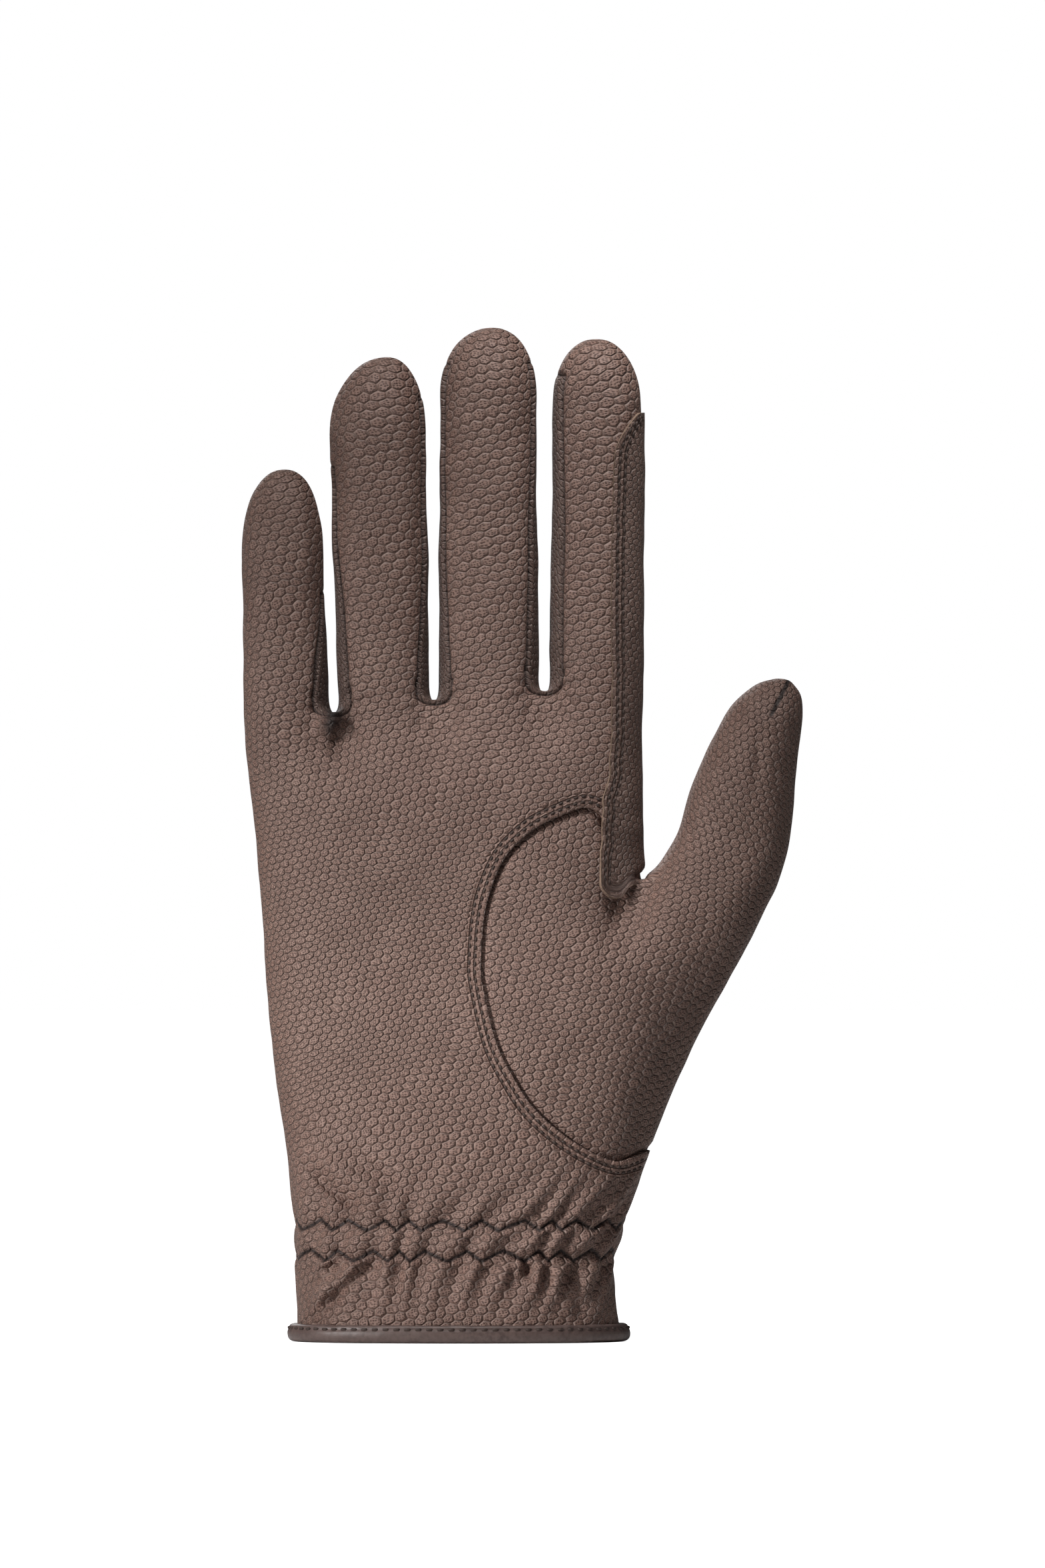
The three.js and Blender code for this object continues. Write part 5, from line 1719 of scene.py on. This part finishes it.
class Nodes:
    """A node tree, with short ways to add nodes and join them."""

    def __init__(self, tree: NodeTree) -> None:
        """Keep the tree, and the column where its next node goes."""
        self.tree = tree
        self.column = 0

    def add(self, kind: str, values: dict[str | int, object] | None = None, **settings: object) -> Node:
        """Add a node.

        Args:
            kind: The node's type.
            values: What goes into its inputs, each a number, a colour or another node's output.
            settings: The node's own settings.

        Returns:
            The node.
        """
        node = self.tree.nodes.new(kind)
        node.location = (self.column * 180.0, -(self.column % 5) * 160.0)
        self.column += 1
        for key, value in settings.items():
            setattr(node, key, value)
        for key, value in (values or {}).items():
            self.put(value, node.inputs[key])
        return node

    def put(self, value: object, socket: NodeSocket) -> None:
        """Put a number, a colour or another node's output into an input."""
        if isinstance(value, NodeSocket):
            self.tree.links.new(value, socket)
        else:
            socket.default_value = value

    def math(self, operation: str, *values: object) -> NodeSocket:
        """Return the result of a sum on numbers."""
        return self.add("ShaderNodeMath", dict(enumerate(values)), operation=operation).outputs[0]

    def times(self, first: object, second: object) -> NodeSocket:
        """Return the product of two numbers."""
        return self.math("MULTIPLY", first, second)

    def plus(self, first: object, second: object) -> NodeSocket:
        """Return the sum of two numbers."""
        return self.math("ADD", first, second)

    def less(self, first: object, second: object) -> NodeSocket:
        """Return the first number less the second."""
        return self.math("SUBTRACT", first, second)

    def vector(self, operation: str, *values: object) -> NodeSocket:
        """Return the result of a sum on vectors."""
        return self.add("ShaderNodeVectorMath", dict(enumerate(values)), operation=operation).outputs[0]

    def measure(self, operation: str, *values: object) -> NodeSocket:
        """Return the number that a sum on vectors gives."""
        return self.add("ShaderNodeVectorMath", dict(enumerate(values)), operation=operation).outputs["Value"]

    def step(self, value: object, low: float, high: float, start: float = 0.0, end: float = 1.0) -> object:
        """Return a smooth step from start at low to end at high."""
        values = {"Value": value, "From Min": low, "From Max": high, "To Min": start, "To Max": end}
        return self.add("ShaderNodeMapRange", values, interpolation_type="SMOOTHSTEP").outputs[0]

    def mix(self, share: object, first: object, second: object) -> NodeSocket:
        """Return a mix of two colours."""
        return self.add("ShaderNodeMix", {0: share, 6: first, 7: second}, data_type="RGBA").outputs[2]

    def noise(self, place: object, scale: float, detail: float = 2.0, rough: float = 0.5) -> Node:
        """Add a noise pattern."""
        values = {"Vector": place, "Scale": scale, "Detail": detail, "Roughness": rough}
        return self.add("ShaderNodeTexNoise", values)

    def kept(self, name: str) -> NodeSocket:
        """Return a number kept for each point of the mesh."""
        return self.add("ShaderNodeAttribute", attribute_name=name).outputs["Fac"]

    def finish(self, shader: Node, color: object, rough: object, height: object, relief: float) -> None:
        """Give a shader its colour, its roughness and its relief in metres."""
        bump = self.add("ShaderNodeBump", {"Strength": 1.0, "Distance": relief, "Height": height})
        self.put(color, shader.inputs["Base Color"])
        self.put(rough, shader.inputs["Roughness"])
        self.put(bump.outputs["Normal"], shader.inputs["Normal"])


def new_material(name: str) -> tuple[Material, Nodes, Node]:
    """Start a material, with its nodes and its shader."""
    material = bpy.data.materials.new(name)
    material.use_nodes = True
    return material, Nodes(material.node_tree), material.node_tree.nodes["Principled BSDF"]


def srgb(red: int, green: int, blue: int) -> tuple[float, float, float, float]:
    """Return a screen colour as linear light."""
    values = [c / 255 for c in (red, green, blue)]
    linear = [v / 12.92 if v <= 0.04045 else ((v + 0.055) / 1.055) ** 2.4 for v in values]
    return (*linear, 1.0)


def embossed_grain() -> NodeTree:
    """Make the group that draws the rows of embossed scales and their pores, with a painted highlight on each
    scale's upper left rim and painted shade in its groove on the lower right side.

    Returns:
        The group, which reads a flat pattern in metres.
    """
    tree = bpy.data.node_groups.new("embossed_grain", "ShaderNodeTree")
    for way, kind, labels in (
        ("INPUT", "Vector", ("Pattern",)),
        ("INPUT", "Float", ("Scale Size", "Stretch", "Turn")),
        ("INPUT", "Color", ("Leather", "Groove", "Crown", "Pore")),
        ("OUTPUT", "Color", ("Color",)),
        ("OUTPUT", "Float", ("Roughness", "Height")),
    ):
        for label in labels:
            tree.interface.new_socket(name=label, in_out=way, socket_type=f"NodeSocket{kind}")
    nodes = Nodes(tree)
    given = nodes.add("NodeGroupInput").outputs
    result = nodes.add("NodeGroupOutput").inputs
    values = {"Vector": given["Pattern"], "Angle": given["Turn"]}
    turned = nodes.add("ShaderNodeVectorRotate", values, rotation_type="Z_AXIS").outputs[0]
    unit = nodes.math("DIVIDE", 1.0, given["Scale Size"])
    long = nodes.math("DIVIDE", unit, given["Stretch"])
    sizes = nodes.add("ShaderNodeCombineXYZ", {"X": long, "Y": unit, "Z": unit}).outputs[0]
    spread = even = nodes.vector("MULTIPLY", turned, sizes)
    for scale, reach in ((0.07, 3.2), (0.36, 0.7), (0.95, 0.26)):
        shift = nodes.vector("SUBTRACT", nodes.noise(even, scale, 1.0).outputs["Color"], (0.5, 0.5, 0.5))
        spread = nodes.vector("ADD", spread, nodes.vector("MULTIPLY", shift, (reach, reach, 0.0)))
    spread = nodes.vector("MULTIPLY", spread, (1.0, 1.0, 0.0))
    half = (0.5, math.sqrt(3) / 2, 1.0)
    low = tuple(-c for c in half)
    first = nodes.vector("WRAP", spread, half, low)
    second = nodes.vector("WRAP", nodes.vector("ADD", spread, (half[0], half[1], 0.0)), half, low)
    lengths = [nodes.measure("DOT_PRODUCT", v, v) for v in (first, second)]
    nearer = nodes.math("LESS_THAN", lengths[1], lengths[0])
    inner = nodes.add("ShaderNodeMix", {0: nearer, 4: first, 5: second}, data_type="VECTOR").outputs[1]
    centre = nodes.vector("SUBTRACT", spread, inner)
    centre = nodes.vector("SNAP", nodes.vector("ADD", centre, (0.05, 0.05, 0.0)), (0.5, half[1], 1.0))
    tone = nodes.add("ShaderNodeTexWhiteNoise", {"Vector": centre}).outputs["Value"]
    parts = nodes.add("ShaderNodeSeparateXYZ", {"Vector": nodes.vector("ABSOLUTE", inner)}).outputs
    slanted = nodes.plus(nodes.times(parts["X"], 0.5), nodes.times(parts["Y"], half[1]))
    hexagon = nodes.math("MAXIMUM", parts["X"], slanted)
    circle = nodes.measure("LENGTH", inner)
    edge = nodes.less(0.5, nodes.plus(nodes.times(hexagon, 0.6), nodes.times(circle, 0.4)))
    fine = nodes.noise(spread, 7.0, 3.0, 0.6).outputs["Fac"]
    edge = nodes.plus(edge, nodes.times(nodes.less(fine, 0.5), 0.06))
    signed = nodes.add("ShaderNodeSeparateXYZ", {"Vector": inner}).outputs["Y"]
    # How far a point lies towards its scale's lower right side, away from the light.
    leaning = nodes.measure("DOT_PRODUCT", inner, (0.5, -0.85, 0.0))
    # The groove's dark colour, laid fully on each scale's lower right side and at a fifth on its upper left:
    # the groove itself plus painted shade.
    groove = nodes.times(nodes.step(edge, 0.045, 0.0), nodes.step(leaning, -0.25, 0.3, 0.2, 1.0))
    # Painted highlight: near its rim, the upper left side of each scale is mixed towards a pale colour, as
    # though lit from the upper left.
    painted_rim_highlight = nodes.times(nodes.step(leaning, 0.0, -0.35), nodes.step(edge, 0.16, 0.05))
    values = {"Vector": nodes.vector("MULTIPLY", spread, (4.2, 4.5, 1.0)), "Scale": 1.0, "Randomness": 0.5}
    pores = nodes.add("ShaderNodeTexVoronoi", values, voronoi_dimensions="2D")
    patches = nodes.noise(spread, 2.2, 2.0).outputs["Fac"]
    pore = nodes.step(pores.outputs["Distance"], 0.42, 0.23)
    for other in (nodes.step(patches, 0.34, 0.56, 0.75, 1.0), nodes.step(edge, 0.06, 0.13)):
        pore = nodes.times(pore, other)
    broad = nodes.noise(given["Pattern"], 70.0, 3.0, 0.6).outputs["Fac"]
    light = nodes.times(nodes.step(tone, 0.0, 1.0, 0.35, 0.65), nodes.step(broad, 0.25, 0.75, 0.35, 1.0))
    color = nodes.mix(light, given["Leather"], given["Crown"])
    # Over the tone go the painted rim highlight, the pores, and the grooves with their painted shade.
    for share, depth, layer in (
        (painted_rim_highlight, 0.5, srgb(164, 142, 132)),
        (pore, 0.82, given["Pore"]),
        (groove, 0.62, given["Groove"]),
    ):
        color = nodes.mix(nodes.times(share, depth), color, layer)
    rough = nodes.plus(nodes.plus(0.5, nodes.times(groove, 0.22)), nodes.times(fine, 0.12))
    height = nodes.step(edge, 0.0, 0.17)
    for share, depth in ((signed, 0.6), (groove, 0.3), (pore, 0.2), (fine, -0.22)):
        height = nodes.less(height, nodes.times(share, depth))
    for label, value in (("Color", color), ("Roughness", rough), ("Height", height)):
        nodes.put(value, result[label])
    return tree


@dataclass(frozen=True)
class Leather:
    """One finish of embossed synthetic leather."""

    name: str
    leather: tuple[int, int, int] = (126, 98, 87)
    groove: tuple[int, int, int] = (52, 41, 39)
    crown: tuple[int, int, int] = (148, 121, 109)
    pore: tuple[int, int, int] = (58, 34, 28)
    scale_size: float = 0.0021
    stretch: float = 1.36
    turn: float = -0.25
    relief: float = 0.00055
    raw: tuple[int, int, int] | None = None
    stitch_rows: tuple[float, float] = (1.4, 2.8)

    def material(self, grain: NodeTree) -> Material:
        """Make the finish's material.

        Args:
            grain: The group that draws the embossed scales.

        Returns:
            The material.
        """
        material, nodes, shader = new_material(self.name)
        values = {
            "Pattern": nodes.add("ShaderNodeUVMap").outputs["UV"],
            "Scale Size": self.scale_size,
            "Stretch": self.stretch,
            "Turn": self.turn,
            "Leather": srgb(*self.leather),
            "Groove": srgb(*self.groove),
            "Crown": srgb(*self.crown),
            "Pore": srgb(*self.pore),
        }
        group = nodes.add("ShaderNodeGroup", node_tree=grain)
        for label, value in values.items():
            nodes.put(value, group.inputs[label])
        lap = nodes.kept("lap")
        pressed = nodes.times(nodes.step(lap, -0.2, 0.3), nodes.step(lap, 4.2, 3.2))
        rows = [nodes.math("ABSOLUTE", nodes.less(lap, row)) for row in self.stitch_rows]
        sunk = nodes.step(nodes.math("MINIMUM", *rows), 0.5, 0.1)
        # Painted shade: the leather is darkened along the seams between pieces, in the zigzag gather rows,
        # the thumb's dart and the pinch below the little finger's gap, and in the sunk stitch lines.
        painted_crease_shade = nodes.step(nodes.kept("seam"), 0.6, 0.1, 0.0, 0.5)
        painted_crease_shade = nodes.math("MAXIMUM", painted_crease_shade, nodes.step(nodes.kept("zigzag"), 0.7, 0.12, 0.0, 0.92))
        painted_crease_shade = nodes.math("MAXIMUM", painted_crease_shade, nodes.times(sunk, 0.28))
        color = nodes.mix(nodes.times(pressed, 0.3), group.outputs["Color"], srgb(*self.leather))
        color = nodes.mix(painted_crease_shade, color, srgb(34, 26, 25))
        if self.raw:
            place = nodes.add("ShaderNodeTexCoord").outputs["Object"]
            frayed = nodes.noise(place, 1400.0, 3.0).outputs["Fac"]
            frayed = nodes.times(nodes.step(frayed, 0.4, 0.6), nodes.step(lap, 0.3, 0.05))
            color = nodes.mix(frayed, color, srgb(*self.raw))
        height = nodes.times(group.outputs["Height"], nodes.step(pressed, 0.0, 1.0, 1.0, 0.4))
        height = nodes.less(height, nodes.times(sunk, 0.9))
        nodes.finish(shader, color, group.outputs["Roughness"], height, self.relief)
        shader.inputs["Specular IOR Level"].default_value = 0.4
        return material


@dataclass(frozen=True)
class Plain:
    """One plain finish with fine grain: smooth leather, backing, raw edge or thread."""

    name: str
    color: tuple[int, int, int]
    shade: tuple[int, int, int]
    size: float
    roughness: float
    relief: float

    def material(self) -> Material:
        """Make the finish's material."""
        material, nodes, shader = new_material(self.name)
        place = nodes.add("ShaderNodeTexCoord").outputs["Object"]
        fine = nodes.noise(place, 1.0 / self.size, 4.0, 0.6).outputs["Fac"]
        broad = nodes.noise(place, 0.12 / self.size, 2.0).outputs["Fac"]
        share = nodes.times(nodes.step(fine, 0.35, 0.7), nodes.step(broad, 0.2, 0.8, 0.4, 1.0))
        color = nodes.mix(share, srgb(*self.color), srgb(*self.shade))
        rough = nodes.plus(self.roughness - 0.08, nodes.times(fine, 0.16))
        nodes.finish(shader, color, rough, fine, self.relief)
        return material


@dataclass(frozen=True)
class Lamp:
    """One soft studio lamp, in metres, watts and degrees. Only a spot has a spread."""

    name: str
    place: tuple[float, float, float]
    aim: tuple[float, float, float]
    size: float
    power: float
    spread: float = 0.0

    def hang(self) -> None:
        """Hang the lamp."""
        kind = "SPOT" if self.spread else "AREA"
        light = bpy.data.lights.new(self.name, kind)
        light.energy = self.power
        if self.spread:
            light.shadow_soft_size = self.size
            light.spot_size = math.radians(self.spread)
            light.spot_blend = 1.0
        else:
            light.shape = "DISK"
            light.size = self.size
        obj = link_new(self.name, light)
        obj.location = self.place
        obj.rotation_euler = (Vector(self.aim) - Vector(self.place)).to_track_quat("-Z", "Y").to_euler()


@dataclass
class Studio:
    """The white floor, the soft lamps and the camera."""

    distance: float = 4.8
    frame_height: float = 0.3709
    centre: tuple[float, float] = (0.0152, 0.1318)
    sensor: float = 36.0
    world: float = 0.03
    floor_glow: float = 0.95
    glow_reach: tuple[float, float] = (0.15, 0.7)
    lamps: tuple[Lamp, ...] = (
        Lamp("palm_lamp", (-0.98, -0.82, 0.56), (0.007, 0.0, 0.062), 0.07, 97.0, 9.0),
        Lamp("tip_lamp", (0.12, -0.5, 1.35), (0.03, 0.0, 0.234), 0.05, 92.0, 5.0),
        Lamp("left_lamp", (-1.4, -0.5, 0.5), (0.0, 0.0, 0.12), 0.6, 0.9),
        Lamp("low_lamp", (-1.0, -0.9, 0.12), (0.0, 0.0, 0.07), 0.2, 3.0),
        Lamp("top_lamp", (-0.1, -0.3, 1.3), (0.0, 0.0, 0.15), 0.4, 7.2),
        Lamp("back_lamp", (-0.4, 1.5, 0.8), (0.0, 0.0, 0.12), 0.8, 5.0),
    )

    def build(self) -> None:
        """Set up the studio."""
        self.lay_floor()
        for lamp in self.lamps:
            lamp.hang()
        self.surround()
        self.set_camera()
        bpy.context.scene.view_settings.view_transform = "Standard"

    def lay_floor(self) -> None:
        """Lay the plain pale floor."""
        bpy.ops.mesh.primitive_plane_add(size=14.0, location=(0, 0, 0))
        floor = bpy.context.object
        floor.name = "studio_floor"
        material, nodes, shader = new_material("studio_white")
        for label, value in (
            ("Base Color", (0.93, 0.93, 0.93, 1)),
            ("Roughness", 0.9),
            ("Specular IOR Level", 0.1),
            ("Emission Color", (1, 1, 1, 1)),
        ):
            shader.inputs[label].default_value = value
        path = nodes.add("ShaderNodeLightPath").outputs["Is Camera Ray"]
        away = nodes.measure("LENGTH", nodes.add("ShaderNodeTexCoord").outputs["Object"])
        glow = nodes.times(path, nodes.step(away, *self.glow_reach, self.floor_glow, 1.02))
        nodes.put(glow, shader.inputs["Emission Strength"])
        floor.data.materials.append(material)

    def surround(self) -> None:
        """Put a white surround about the studio, weak as a light."""
        world = bpy.data.worlds.new("studio_world")
        bpy.context.scene.world = world
        world.use_nodes = True
        nodes = Nodes(world.node_tree)
        background = world.node_tree.nodes["Background"]
        path = nodes.add("ShaderNodeLightPath").outputs["Is Camera Ray"]
        strength = nodes.step(path, 0.0, 1.0, self.world, 1.0)
        nodes.put(strength, background.inputs["Strength"])
        background.inputs["Color"].default_value = (1, 1, 1, 1)

    def set_camera(self) -> None:
        """Set the camera at the photograph's angle."""
        camera = bpy.data.cameras.new("camera")
        camera.sensor_fit = "VERTICAL"
        camera.sensor_height = self.sensor
        camera.lens = self.sensor * self.distance / self.frame_height
        camera.clip_end = 50.0
        obj = link_new("camera", camera)
        obj.location = (self.centre[0], -self.distance, self.centre[1])
        obj.rotation_euler = (math.pi / 2, 0.0, 0.0)
        bpy.context.scene.camera = obj


@dataclass
class RidingGlove:
    """The whole glove, put together from its leather, its guard, its binding and its stitches."""

    net: GloveNet
    arc_rows: tuple[float, float] = (1.4, 2.75)
    arc_stitch: StitchRow = StitchRow(1.95, 1.3, 0.28)
    binding_stitch: StitchRow = StitchRow(2.6, 1.7, 0.34)

    def build(self) -> None:
        """Build and dress every piece."""
        grain = embossed_grain()
        seam = ThumbSeam(self.net)
        shell = LeatherShell(self.net, Relief(self.net), seam)
        pieces = shell.build()
        gusset = Leather(
            "gusset_leather", (98, 77, 69), (46, 36, 34), (116, 93, 83), scale_size=0.0016, stretch=1.0
        ).material(grain)
        thumb = Leather("thumb_leather", scale_size=0.00205, stretch=1.4, turn=-0.3).material(grain)
        palm = Leather("palm_leather").material(grain)
        back = Leather("back_leather").material(grain)
        strip = "fourchette_leather"
        for piece, name, node, slot, material in (
            (Piece.PALM, "palm_leather_panel", "palm_panel", "palm_leather", palm),
            (Piece.BACK, "back_leather_panel", "back_panel", "back_leather", back),
            (Piece.THUMB, "thumb_leather_piece", "thumb_piece", "thumb_leather", thumb),
            (Piece.LITTLE_RING, "little_ring_gusset", "fourchette_little_ring", strip, gusset),
            (Piece.RING_MIDDLE, "ring_middle_gusset", "fourchette_ring_middle", strip, gusset),
            (Piece.MIDDLE_INDEX, "middle_index_gusset", "fourchette_middle_index", strip, gusset),
        ):
            self.dress(pieces[piece], name, slot, [material], node)
        backing = Plain("leather_backing", (120, 112, 104), (92, 86, 80), 0.0009, 0.85, 0.0001).material()
        self.dress(shell.build_lining(), "glove_lining", "palm_leather", [backing])
        patch = SidePatch(self.net)
        guard = patch.build(shell.hand_tree)
        leather = Leather(
            "guard_leather", (110, 87, 78), scale_size=0.0017, stretch=1.1, turn=0.3, raw=(140, 116, 98)
        ).material(grain)
        raw = Plain("raw_edge", (126, 104, 88), (84, 66, 56), 0.0005, 0.85, 0.0001).material()
        self.dress(guard, "index_side_guard", "patch_leather", [leather, raw], "index_side_patch")
        roll = HemBinding(self.net)
        smooth = Plain("binding_leather", (97, 80, 75), (72, 58, 55), 0.0012, 0.45, 0.00008).material()
        self.dress(roll.build(), "rolled_hem_binding", "binding_leather", [smooth], "hem_binding")
        arcs = [
            run
            for out in self.arc_rows
            for side in (-1, 1)
            for run in project(shell.hand_tree, seam.offset(out), side)
        ]
        thread = Plain("sewing_thread", (64, 48, 41), (36, 27, 24), 0.0002, 0.7, 0.00003).material()
        for name, slot, lines, row in (
            ("thumb_seam_stitches", "palm_leather", arcs, self.arc_stitch),
            ("guard_stitches", "patch_leather", patch.stitch_lines(), self.arc_stitch),
            ("hem_stitches", "binding_leather", [roll.stitch_line()], self.binding_stitch),
        ):
            stitches = Stitching(name)
            for line, normals in lines:
                stitches.sew(line, normals, row)
            self.dress(stitches.build(), name, slot, [thread])

    def dress(
        self, obj: Object, name: str, slot: str, materials: list[Material], node: str = ""
    ) -> None:
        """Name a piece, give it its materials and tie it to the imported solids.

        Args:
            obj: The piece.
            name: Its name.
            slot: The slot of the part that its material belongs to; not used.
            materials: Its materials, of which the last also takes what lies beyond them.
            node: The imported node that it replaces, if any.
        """
        obj.name = obj.data.name = name
        faces = obj.data.polygons
        numbers = np.minimum(read(faces, "material_index", kind=np.int32), len(materials) - 1)
        obj.data.materials.clear()
        for material in materials:
            obj.data.materials.append(material)
        faces.foreach_set("material_index", numbers)
        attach(obj, "root")
        if node:
            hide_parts(node)
        LOG.info("%s: %d faces", name, len(faces))


def main() -> None:
    """Build the glove and the studio."""
    logging.basicConfig(level=logging.INFO, format="%(message)s")
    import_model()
    net = GloveNet()
    net.build()
    RidingGlove(net).build()
    Studio().build()


if __name__ == "__main__":
    main()
